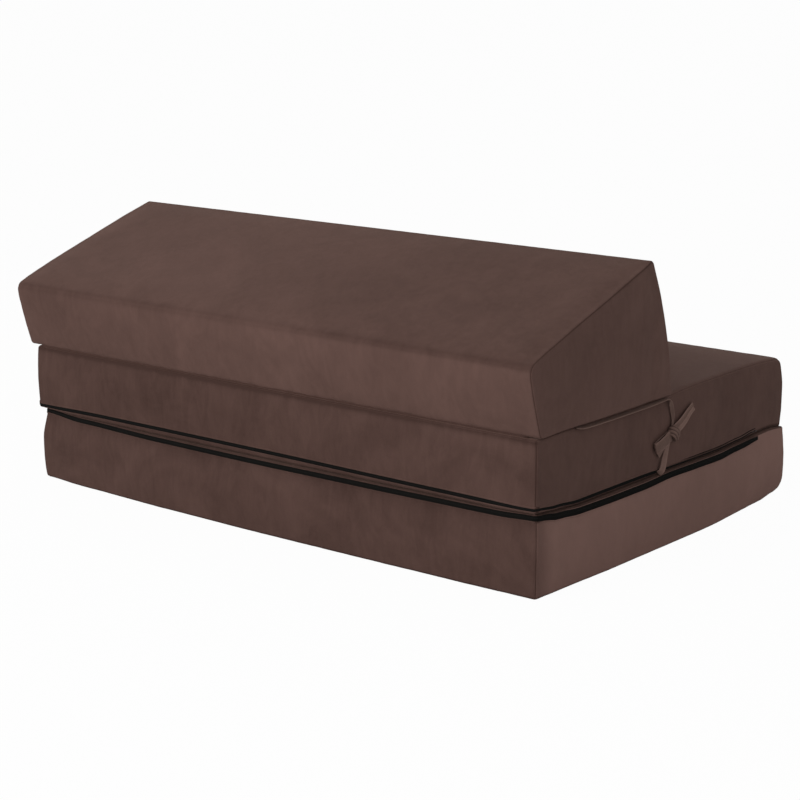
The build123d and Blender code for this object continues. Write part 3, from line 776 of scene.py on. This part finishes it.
def wedge_place(x, s, t):
    """A point of the wedge's cover, its ends drawn in round their edges."""
    sink = TOE_SINK * (1 - smooth(s * WEDGE_BACK / TOE_REACH)) * (1 - smooth(t * 2))
    crown = SLOPE_CROWN[0] + (SLOPE_CROWN[1] - SLOPE_CROWN[0]) * (1 - (x / WEDGE_END_X) ** 2)
    point = wedge_section(s, t, crown)
    radius = WEDGE_END_RADIUS
    to_end = WEDGE_END_X - abs(x)
    to_edge = min(s * WEDGE_BACK, (1 - s) * WEDGE_BACK, t * WEDGE_HEIGHT, (1 - t) * WEDGE_HEIGHT * 0.8)
    if to_end < radius and to_edge < radius:
        spoke = Vector((to_edge - radius, to_end - radius)).normalized() * radius
        inward, to_end = radius + spoke.x - to_edge, radius + spoke.y
        middle = wedge_section(0.5, 0.5, crown)
        point += (middle - point).normalized() * inward
    reach = eased((point.x - FRONT_Y) / MM, WEDGE_RIGHT_REACH if x > 0 else WEDGE_LEFT_REACH) * MM
    across = WEDGE_END_X - to_end
    across += reach * smooth(across / WEDGE_END_X * 2 - 1)
    return Vector((math.copysign(across, x), point.x, point.y - sink))


def wedge_distance(spot):
    """How far a spot of the wedge's cover is from its nearest edge and from its end seam."""
    to_face = min(spot.y, 1 - spot.y) * WEDGE_BACK
    to_level = min(spot.z, 1 - spot.z) * WEDGE_MID_HEIGHT
    to_end = WEDGE_END_X - abs(spot.x)
    nearest = min(to_face + to_level, to_level + to_end, to_face + to_end)
    return nearest, to_end + min(to_face, to_level)


def wedge_detail(spot, normal):
    """How far the wedge's cover stands proud: seams, puckers, a slow waviness and the recess of its zip."""
    nearest, end_seam = (distance / MM for distance in wedge_distance(spot))
    at = Vector((spot.x, spot.y * WEDGE_BACK, spot.z * WEDGE_MID_HEIGHT))
    groove = -0.9 * math.exp(-((end_seam / 1.8) ** 2))
    pucker = 0.45 * ripple(at, 21, 17) * math.exp(-nearest / 16) * smooth(nearest / 4)
    toe = math.hypot(spot.y * WEDGE_BACK, spot.z * WEDGE_MID_HEIGHT) / MM
    scallop = 1.1 * ripple(at, 31, 15) * math.exp(-((toe / 9) ** 2))
    wave = 1.4 * ripple(at, 23, 220) * smooth(nearest / 60)
    fold = 0.4 * ripple(at, 27, 60) * smooth(nearest / 20)
    height = spot.z * WEDGE_HEIGHT + WEDGE_Z
    beside = max(abs(height - WEDGE_ZIP_Z) - 4.5 * MM, abs(spot.x) - WEDGE_ZIP_END, 0) / MM
    behind = smooth(normal.y * 2)
    recess = 2.2 * math.exp(-((beside / 4) ** 2)) * behind
    calm = 1 - math.exp(-((beside / 12) ** 2)) * behind
    return (groove + (pucker + scallop + wave + fold) * calm - recess) * MM


def hold_wedge(spot):
    """Holds the wedge's base and seams and frees its sides."""
    return let_go(wedge_distance(spot)[0]) if spot.z > 0 else 1.0


def build_wedge():
    """The wedge's cover."""
    xs = loops(-WEDGE_END_X, WEDGE_END_X, NEAR_EDGE, NEAR_EDGE, LOOP_STEP)
    flat = loops(0, WEDGE_BACK, NEAR_EDGE, NEAR_EDGE, LOOP_STEP)
    tall = loops(0, WEDGE_MID_HEIGHT, NEAR_EDGE, NEAR_EDGE, WEDGE_HEIGHT_STEP)
    places = (xs, [place / WEDGE_BACK for place in flat], [place / WEDGE_MID_HEIGHT for place in tall])
    piece = padded_cover("wedge_cover", places, wedge_place, hold_wedge, wedge_detail, wedge_seams_and_painted_light)
    return dress(piece, "velvet", "wedge", *names_of("wedge", *WEDGE_PANELS))


def outline_stations():
    """Places along a block's zip, closest at its corners: from the right end's rear, round the front, to the
    left end's rear."""
    near = [2 * i * MM for i in range(12)]

    def run(length):
        return near + [near[-1] + ZIP_STEP * i for i in range(1, int((length - near[-1]) / ZIP_STEP))]

    length = ZIP_REAR_Y - FRONT_Y
    side = [d for d in run(length) if d < length] + [length]
    half = [(END_X, FRONT_Y + d) for d in reversed(side)] + [(END_X - d, FRONT_Y) for d in run(END_X)[1:]]
    return half + [(0.0, FRONT_Y)] + [(-x, y) for x, y in reversed(half)]


ZIP_STATIONS = outline_stations()
TAPE_HALF = 4.6 * MM
TAPE_TUCK = 1 * MM
TAPE_THICKNESS = 0.5 * MM
COIL_HALF = 1.3 * MM
TOOTH_PITCH = 2.2 * MM
TOOTH_SIZE = TOOTH_PITCH * 0.42
# Rows across a zip's tape: share of its half width, and how far it stands proud in millimetres
TAPE_ROWS = ((-1.0, -0.4), (-0.8, 0.2), (-0.3, 0.4), (0.3, 0.4), (0.8, 0.2), (1.0, -0.4))
# The middle of the coil, its upper side and its outer side, given by height and how far it stands proud
COIL_SIDES = ((0, 0.4 * MM), (COIL_HALF, 0.4 * MM), (0, 1.4 * MM))
# Each row of a fold: how far it lies from the slit's edge, and how far it stands proud, in millimetres
FOLD_ROWS = ((3.6, -0.6), (2.6, 0.5), (1.4, 1.2), (0.4, 1.3), (0.0, 0.8), (0.4, 0.1))


def build_zip_tape(name, block):
    """The black tape of a block's zip."""
    lines = []
    for x, y in ZIP_STATIONS:
        half = max(TAPE_HALF, line_height(x, y, block.slit) / 2 + TAPE_TUCK)
        lines.append([block.on_zip(x, y, across * half, proud * MM) for across, proud in TAPE_ROWS])
    piece = thick_strip(f"{name}_zip_tapes", lines, TAPE_THICKNESS)
    return dress(piece, "zip_tape", name, *names_of(name, "zip_upper_tape", "zip_lower_tape"))


def build_zip_teeth(name, block):
    """The coil's teeth: short six-sided bars across the zip."""
    path = []
    for x, y in ZIP_STATIONS:
        middle, above, outside = (block.on_zip(x, y, across, proud) for across, proud in COIL_SIDES)
        path.append((middle, (above - middle).normalized(), (outside - middle).normalized()))
    bm = bmesh.new()
    carried = TOOTH_PITCH / 2
    for (start, up, out), (end, _, _) in zip(path, path[1:]):
        run = (end - start).length
        while carried < run:
            spot = start.lerp(end, carried / run)
            turn = Matrix((up.cross(out), out, up)).transposed().to_4x4()
            bmesh.ops.create_cone(
                bm, cap_ends=True, segments=6, radius1=TOOTH_SIZE, radius2=TOOTH_SIZE, depth=2 * COIL_HALF,
                matrix=Matrix.Translation(spot) @ turn,
            )
            carried += TOOTH_PITCH
        carried -= run
    return dress(new_object(f"{name}_zip_teeth", bm), "zip_coil", name, f"{name}_zip_coil")


def build_zip_lips(name, block, nap):
    """The folded velvet edges that the tape is sewn under, above and below a zip."""
    for label, side in (("upper", 1), ("lower", -1)):
        lines = []
        for x, y in ZIP_STATIONS:
            half = line_height(x, y, block.slit) / 2
            line = [block.on_zip(x, y, side * (half + away * MM), proud * MM) for away, proud in FOLD_ROWS]
            lines.append(line)
        piece = new_object(f"{name}_zip_{label}_fold", strip(lines))
        face_outwards(piece)
        # The folds carry their block's painted light and shade with its seam lines
        paint(piece, "nap", nap)
        dress(piece, "velvet", name)


def give_way():
    """Gives the middle block's cover, zip tapes, teeth and folds each a mesh of its own."""
    for name in names_of("middle", "cover", "zip_tapes", "zip_teeth", "zip_upper_fold", "zip_lower_fold"):
        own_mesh(bpy.data.objects[name])


def face_outwards(piece):
    """Turns an open sheet's faces away from the middle of the object."""
    mesh = piece.data
    if sum(face.normal.dot(face.center * Vector((1, 1, 0))) * face.area for face in mesh.polygons) < 0:
        mesh.flip_normals()


def nurbs_points(controls):
    """Points along the smooth line of a NURBS spline with these control points."""
    curve = bpy.data.curves.new("route", "CURVE")
    curve.dimensions = "3D"
    curve.resolution_u = 12
    spline = curve.splines.new("NURBS")
    spline.points.add(len(controls) - 1)
    for control, point in zip(spline.points, controls):
        control.co = (*point, 1.0)
    spline.order_u = 3
    spline.use_endpoint_u = True
    holder = bpy.data.objects.new("route", curve)
    mesh = bpy.data.meshes.new_from_object(holder)
    points = [vert.co.copy() for vert in mesh.vertices]
    bpy.data.objects.remove(holder)
    bpy.data.curves.remove(curve)
    bpy.data.meshes.remove(mesh)
    return points


# The outline of a ribbon's section, as shares of its half width and of its half thickness
RIBBON_SECTION = ((-1, 0), (-0.94, 0.75), (-0.7, 1), (0, 1), (0.7, 1), (0.94, 0.75), (1, 0), (0.94, -0.75),
                  (0.7, -1), (0, -1), (-0.7, -1), (-0.94, -0.75))


def ribbon(name, side, controls, facings, width, end_width, thick, cup, depth):
    """A flat ribbon along a smooth route, its broad side turned to the facings, eased from one to the next.
    It carries painted shade as deep as depth over the whole ribbon, lighter where depth is negative, and a
    painted highlight along both hems."""
    points = nurbs_points([Vector((side * x, y, z)) * MM for x, y, z in controls])
    facings = [Vector((side * x, y, z)) for x, y, z in facings]
    last = len(points) - 1
    spans = [width + (end_width - width) * i / last for i in range(last + 1)]
    profile = [(share / 2, level * thick / 2 + cup * (1 - share * share)) for share, level in RIBBON_SECTION]
    lines = []
    for i, (point, span) in enumerate(zip(points, spans)):
        along = (points[min(i + 1, last)] - points[max(i - 1, 0)]).normalized()
        place = i / last * (len(facings) - 1)
        index = min(int(place), len(facings) - 2)
        facing = facings[index].lerp(facings[index + 1], smooth(place - index))
        out = (facing - along * facing.dot(along)).normalized()
        across = along.cross(out)
        ring = [point + across * a * span + out * b for a, b in profile]
        lines.append(ring + ring[:1])
    bm = strip(lines)
    bmesh.ops.remove_doubles(bm, verts=bm.verts, dist=0.01 * MM)
    bmesh.ops.holes_fill(bm, edges=[edge for edge in bm.edges if edge.is_boundary])
    piece = new_object(name, bm)

    # Painted shade over the ribbon, with a painted highlight towards both hems
    def crease(spot, _):
        away = min((spot - point).length / span for point, span in zip(points, spans))
        return depth - 0.6 * smooth((away - 0.34) / 0.08)

    paint(piece, "crease", crease)
    return piece, points


# Routes of the right end's ties, in millimetres
TIE_WIDTH = 12 * MM
BASE_TIE_WIDTH = 11.4 * MM
TIE_CLOTH = 1.6 * MM
WEDGE_TIE_ROUTE = ((598, -279, 269), (600.5, -274, 267), (602, -262, 265), (602.4, -200, 264.4),
                   (602.8, -130, 264.6), (603, -60, 265), (603.4, -22, 266.6), (605, -7, 268),
                   (607, 0, 267), (608, 4, 258), (608.4, 7.5, 246), (608, 11, 235), (607.6, 12.5, 226),
                   (607.4, 11, 216))
BASE_TIE_ROUTE = ((603, -24.5, 137), (608.5, -24, 140), (611, -22.6, 146), (610.5, -18.5, 156),
                  (609, -12.5, 168), (608.2, -6.5, 179), (607.8, 0, 189), (607.8, 5, 196))
TAIL_ROUTE = ((608, 14, 205), (610.4, 24, 211), (611.4, 36, 218), (611, 48, 225.5), (609.6, 61, 233),
              (609, 77, 241))
FOLD_ROUTE = ((610, 19, 203.5), (612.8, 28, 209.5), (613.8, 39, 216), (613.2, 51, 223.5), (611.8, 63, 230.5),
              (611, 76, 237))
LOOP_ROUTE = ((610, 8, 204), (612.5, -8, 199.5), (613.6, -24, 194), (613.4, -38, 189.5), (612, -46, 187),
              (609.4, -46, 187), (607.6, -38, 189), (607, -18, 195), (607.4, 4, 202))
SHORT_ROUTE = ((607, 4, 198), (606.6, -8, 189), (606.6, -20, 180), (607, -33, 171))

# Facings of the right end's ribbons
OUT, BACK, UP, TURNED, TIP = (1, 0, 0), (-1, 0, 0), (0.2, 0, 1), (0.78, -0.62, 0), (0, -0.93, -0.37)
UP_THEN_OUT = (UP, UP, UP, UP, TURNED, OUT)
ROUND_TIP = (OUT, OUT, OUT, OUT, TIP, BACK, BACK, BACK)

# The right end's ribbons: route, facings, width, end width, thickness, cup and painted shade over the ribbon,
# negative for lighter
RIBBONS = {
    "wedge_tie_ribbon": (WEDGE_TIE_ROUTE, UP_THEN_OUT, TIE_WIDTH, 6.5 * MM, TIE_CLOTH, 0, 0.2),
    "base_tie_ribbon": (BASE_TIE_ROUTE, (TURNED, TURNED, OUT), BASE_TIE_WIDTH, 8.5 * MM, TIE_CLOTH, 0, -0.4),
    "bow_tail": (TAIL_ROUTE, (OUT, OUT), 24 * MM, 15 * MM, TIE_CLOTH, 0, -0.1),
    "bow_tail_fold": (FOLD_ROUTE, (TURNED, TURNED), 9 * MM, 7 * MM, TIE_CLOTH, 1 * MM, -0.4),
    "bow_loop": (LOOP_ROUTE, ROUND_TIP, 22 * MM, 20 * MM, 1.7 * MM, 1 * MM, 0.15),
    "bow_short_end": (SHORT_ROUTE, (OUT, OUT), 12 * MM, 12 * MM, TIE_CLOTH, 0, 0),
}

# The right end's knot: its middle, and half its size along each axis
KNOT_CENTRE = Vector((612, 9, 204)) * MM
KNOT_HALF = Vector((8.6, 12, 13.6)) * MM


def length_of(points):
    return sum((b - a).length for a, b in zip(points, points[1:]))


def build_knot(name, side):
    """The knot: a small pad with a ribbed band wound round it on the slant, with painted shade in its
    grooves.
    """
    bm = bmesh.new()
    bmesh.ops.create_uvsphere(bm, u_segments=40, v_segments=28, radius=1)
    slant = Vector((0, 0.78, -0.62))
    across = Vector((0, 0.62, 0.78))
    painted_rib_shade = []
    for vert in bm.verts:
        unit = vert.co.copy()
        along, over = unit.dot(slant), unit.dot(across)
        band = 1 - smooth((abs(over) - 0.62) / 0.2)
        rib = abs(math.sin((over + 0.08 * math.sin(3 * along)) * 7.5))
        swell = 1 + 0.02 * band + 0.22 * band * rib - 0.2 * (1 - band)
        vert.co = KNOT_CENTRE + unit * KNOT_HALF * swell
        vert.co.x *= side
        # Painted shade: dark in the grooves and off the band, lighter on top of the ribs
        painted_rib_shade.append(0.95 - 1.1 * smooth(rib / 0.75) * band)
    piece = new_object(name, bm)
    paint(piece, "crease", lambda crease, _: crease, painted_rib_shade)
    return piece


def build_ties(side, end):
    """One end's ties: from the wedge's seam to the knot, from the base's seam to the knot, and the bow."""
    made = [ribbon(f"{end}_{name}", side, *form) for name, form in RIBBONS.items()]
    (wedge_tie, wedge_line), (base_tie, base_line), *bow = made
    bow = [piece for piece, _ in bow]
    knot = build_knot(f"{end}_knot", side)
    for piece in (*bow, knot):
        dress(piece, "tie_cloth", "wedge")
    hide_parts(f"{end}_tie_bow")
    dress(wedge_tie, "tie_cloth", "wedge", f"{end}_wedge_tie")
    dress(base_tie, "tie_cloth", "base", f"{end}_base_tie")
    length_of(wedge_line)
    length_of(base_line)
    for piece in (wedge_tie, *bow, knot):
        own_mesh(piece)
    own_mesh(base_tie)


HINGE_COLUMNS = 78

# Heights in millimetres of each hinge strip's rows, below its joint and above it
REAR_HINGE_HEIGHTS = ((120.5, 123, 126, 129, 131.5), (142, 144.5, 147, 149.5, 152))
FRONT_HINGE_HEIGHTS = ((264.8, 266, 267.2, 268.4), (273, 274.2, 275.4, 276.6))


def hinge_strip(name, rows):
    """A strip of hinge cloth along the bed, one row of points for each height, with its thickness."""
    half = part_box("rear_hinge_lower_leaf")[1].x
    lines = [rows(-half + 2 * half * i / HINGE_COLUMNS) for i in range(HINGE_COLUMNS + 1)]
    return thick_strip(name, lines, HINGE_THICKNESS)


def bridged(lower, upper, shares, dip):
    """Rows up to a joint, across it with a dip rearward, and on from it."""
    dips = [Vector((0, dip * math.sin(math.pi * share), 0)) for share in shares]
    return lower + [lower[-1].lerp(upper[0], share) + depth for share, depth in zip(shares, dips)] + upper


def rear_hinge_rows(x):
    """The rear hinge from the base's rear face, over the joint, to the middle block's rear face."""
    lower, upper = ([block.place(x, REAR_Y, z * MM, HINGE_THICKNESS) for z in heights]
                    for block, heights in zip((BASE, MIDDLE), REAR_HINGE_HEIGHTS))
    return bridged(lower, upper, (0.12, 0.25, 0.38, 0.5, 0.62, 0.75, 0.88), -1.2 * MM)


def front_hinge_rows(x):
    """The front hinge, sunk in the groove between the middle block and the wedge's toe."""
    below, above = FRONT_HINGE_HEIGHTS
    sunk = Vector((0, 2.4 * MM, 0))
    lower = [MIDDLE.place(x, FRONT_Y, z * MM, -1.6 * MM) for z in below]
    upper = [wedge_place(x, 0, (z * MM - WEDGE_Z) / WEDGE_FRONT_HEIGHT) + sunk for z in above]
    return bridged(lower, upper, (0.1, 0.3, 0.5, 0.7, 0.9), 1.5 * MM)


def build_hinges():
    """Both hinge strips, bent across their joints."""
    rear = dress(hinge_strip("rear_hinge_strip", rear_hinge_rows), "hinge_cloth", None,
                 "rear_hinge_lower_leaf", "rear_hinge_upper_leaf")
    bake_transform(rear)
    front = dress(hinge_strip("front_hinge_strip", front_hinge_rows), "hinge_cloth", None,
                  "front_hinge_lower_leaf", "front_hinge_upper_leaf")
    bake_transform(front)


class GuestBedSizes(bpy.types.PropertyGroup):
    pressure: bpy.props.FloatProperty(
        name="Filling pressure", description="How hard the foam presses the covers out", default=2.0, min=0.0
    )
    swell: bpy.props.FloatProperty(
        name="Most swell", description="How far a cover may swell past its cut shape", default=0.003,
        subtype="DISTANCE", unit="LENGTH",
    )


def colour_property(name, description, default):
    return bpy.props.FloatVectorProperty(
        name=name, description=description, default=default, size=3, min=0.0, max=1.0, subtype="COLOR"
    )


class GuestBedColours(bpy.types.PropertyGroup):
    velvet: colour_property("Velvet", "The covers' brown velvet", (0.115, 0.0616, 0.0502))
    zip_tape: colour_property("Zip tape", "The woven tape of the zips", (0.0055, 0.005, 0.0045))
    zip_coil: colour_property("Zip coil", "The nylon coil of the zips", (0.005, 0.0047, 0.0043))
    zip_metal: colour_property("Zip metal", "The painted sliders, pulls and stops", (0.014, 0.013, 0.012))
    # Darker than the velvet, like velvet in shade: the cloth's brown, partly painted shade in the joints
    # between the blocks
    hinge_cloth: colour_property("Hinge cloth", "The cloth strips between the blocks", (0.06, 0.033, 0.027))
    tie_cloth: colour_property("Tie cloth", "The ribbons that hold the fold together", (0.135, 0.085, 0.071))


class GUESTBED_OT_blocks(bpy.types.Operator):
    """Builds the covers of the two flat blocks"""

    bl_idname = "guest_bed.blocks"
    bl_label = "Flat blocks"

    def execute(self, context):
        build_block("base", NEAR_ZIP)
        build_block("middle", NEAR_EDGE)
        return {"FINISHED"}


class GUESTBED_OT_wedge(bpy.types.Operator):
    """Builds the wedge's cover"""

    bl_idname = "guest_bed.wedge"
    bl_label = "Wedge"

    def execute(self, context):
        build_wedge()
        return {"FINISHED"}


class GUESTBED_OT_zips(bpy.types.Operator):
    """Builds the zips round the two flat blocks"""

    bl_idname = "guest_bed.zips"
    bl_label = "Zips"

    def execute(self, context):
        for name, (block, nap) in BLOCKS.items():
            build_zip_tape(name, block)
            build_zip_teeth(name, block)
            build_zip_lips(name, block, nap)
        give_way()
        return {"FINISHED"}


ZIP_SLOTS = {
    "slider": "zip_metal", "pull": "zip_metal", "stops": "zip_metal", "tape": "zip_tape", "coil": "zip_coil",
}


class GUESTBED_OT_metal(bpy.types.Operator):
    """Finishes the parts of the frame that stay in view"""

    bl_idname = "guest_bed.metal"
    bl_label = "Sliders, pulls and stops"

    def execute(self, context):
        for name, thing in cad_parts.items():
            slot = ZIP_SLOTS.get(name.split("_")[-1])
            if slot:
                for material_slot in thing.material_slots:
                    material_slot.material = finish_for(slot)
        return {"FINISHED"}


class GUESTBED_OT_hinges(bpy.types.Operator):
    """Builds the cloth hinges between the blocks"""

    bl_idname = "guest_bed.hinges"
    bl_label = "Hinges"

    def execute(self, context):
        build_hinges()
        return {"FINISHED"}


class GUESTBED_OT_ties(bpy.types.Operator):
    """Builds the ties at both ends"""

    bl_idname = "guest_bed.ties"
    bl_label = "Ties"

    def execute(self, context):
        build_ties(1, "right")
        build_ties(-1, "left")
        return {"FINISHED"}


WORLD_LIGHT = 0.42
WHITE = (1, 1, 1, 1)
# The lights' places, aim, widths and powers, and the camera's place, turn in degrees and lens
KEY_LIGHT = ((-0.7, -4.9, 1.9), (0, 0, 0.2), 3.4, 185)
FILL_LIGHT = ((3.8, -0.8, 1.8), (0, 0, 0.2), 2.6, 16)
CAMERA_PLACE, CAMERA_TURN, CAMERA_LENS = (2.3931, -2.9595, 1.0694), (76.78, 0, 38.92), 90.9
FLOOR_HALF = 30


def area_light(name, place, target, size, power):
    """A soft square light aimed at a point."""
    lamp = bpy.data.lights.new(name, "AREA")
    lamp.size, lamp.energy = size, power
    holder = bpy.data.objects.new(name, lamp)
    holder.location = place
    holder.rotation_euler = (Vector(target) - Vector(place)).to_track_quat("-Z", "Y").to_euler()
    bpy.context.scene.collection.objects.link(holder)


def floor_material():
    """A pale floor that looks white where nothing shades it."""
    finish = Finish(bpy.data.materials.new("pale_floor"))
    pale = finish.node("ShaderNodeBsdfDiffuse", None, {"Color": (0.8, 0.8, 0.8, 1)})
    white = finish.node("ShaderNodeEmission", None, {"Color": WHITE, "Strength": 1.0})
    camera = finish.node("ShaderNodeLightPath", output="Is Camera Ray")
    mixed = finish.node("ShaderNodeMixShader", None, {0: camera * 0.97, 1: pale, 2: white})
    return finish.finished("Material", mixed)


def build_world():
    """A white background for the camera and reflections, and an even grey light on the object."""
    world = bpy.data.worlds.new("studio")
    bpy.context.scene.world = world
    finish = Finish(world)
    lit, seen = (finish.node("ShaderNodeBackground", None, {"Color": WHITE, "Strength": light})
                 for light in (WORLD_LIGHT, 1.0))
    camera = finish.node("ShaderNodeLightPath", output="Is Camera Ray")
    glossy = finish.node("ShaderNodeLightPath", output="Is Glossy Ray")
    either = camera.math("MAXIMUM", camera, glossy)
    finish.finished("World", finish.node("ShaderNodeMixShader", None, {0: either, 1: lit, 2: seen}))


class GUESTBED_OT_stage(bpy.types.Operator):
    """Builds the floor, the studio light and the camera"""

    bl_idname = "guest_bed.stage"
    bl_label = "Stage"

    def execute(self, context):
        bm = bmesh.new()
        bmesh.ops.create_grid(bm, x_segments=1, y_segments=1, size=FLOOR_HALF)
        floor = new_object("floor", bm)
        floor.data.materials.append(floor_material())
        build_world()
        area_light("key", *KEY_LIGHT)
        area_light("fill", *FILL_LIGHT)
        camera = bpy.data.cameras.new("camera")
        camera.lens, camera.sensor_width = CAMERA_LENS, 36
        holder = bpy.data.objects.new("camera", camera)
        holder.location = CAMERA_PLACE
        holder.rotation_euler = [math.radians(turn) for turn in CAMERA_TURN]
        context.scene.collection.objects.link(holder)
        context.scene.camera = holder
        context.scene.view_settings.view_transform = "Standard"
        return {"FINISHED"}


OPERATORS = (GUESTBED_OT_stage, GUESTBED_OT_blocks, GUESTBED_OT_wedge, GUESTBED_OT_zips, GUESTBED_OT_metal,
             GUESTBED_OT_hinges, GUESTBED_OT_ties)


class GUESTBED_PT_panel(bpy.types.Panel):
    """Lists the steps that build the guest bed"""

    bl_label = "Guest bed"
    bl_space_type = "VIEW_3D"
    bl_region_type = "UI"
    bl_category = "Guest bed"

    def draw(self, context):
        for operator in OPERATORS:
            self.layout.operator(operator.bl_idname)
        for group in (context.scene.guest_bed_sizes, context.scene.guest_bed_colours):
            for key in group.bl_rna.properties.keys():
                if key not in ("rna_type", "name"):
                    self.layout.prop(group, key)


CLASSES = (GuestBedSizes, GuestBedColours, *OPERATORS, GUESTBED_PT_panel)


def register():
    for cls in CLASSES:
        bpy.utils.register_class(cls)
    bpy.types.Scene.guest_bed_sizes = bpy.props.PointerProperty(type=GuestBedSizes)
    bpy.types.Scene.guest_bed_colours = bpy.props.PointerProperty(type=GuestBedColours)


def unregister():
    del bpy.types.Scene.guest_bed_colours
    del bpy.types.Scene.guest_bed_sizes
    for cls in reversed(CLASSES):
        bpy.utils.unregister_class(cls)


def main():
    register()
    bpy.ops.guest_bed.stage()
    bpy.ops.guest_bed.blocks()
    bpy.ops.guest_bed.wedge()
    bpy.ops.guest_bed.zips()
    bpy.ops.guest_bed.metal()
    bpy.ops.guest_bed.hinges()
    bpy.ops.guest_bed.ties()


if __name__ == "__main__":
    main()
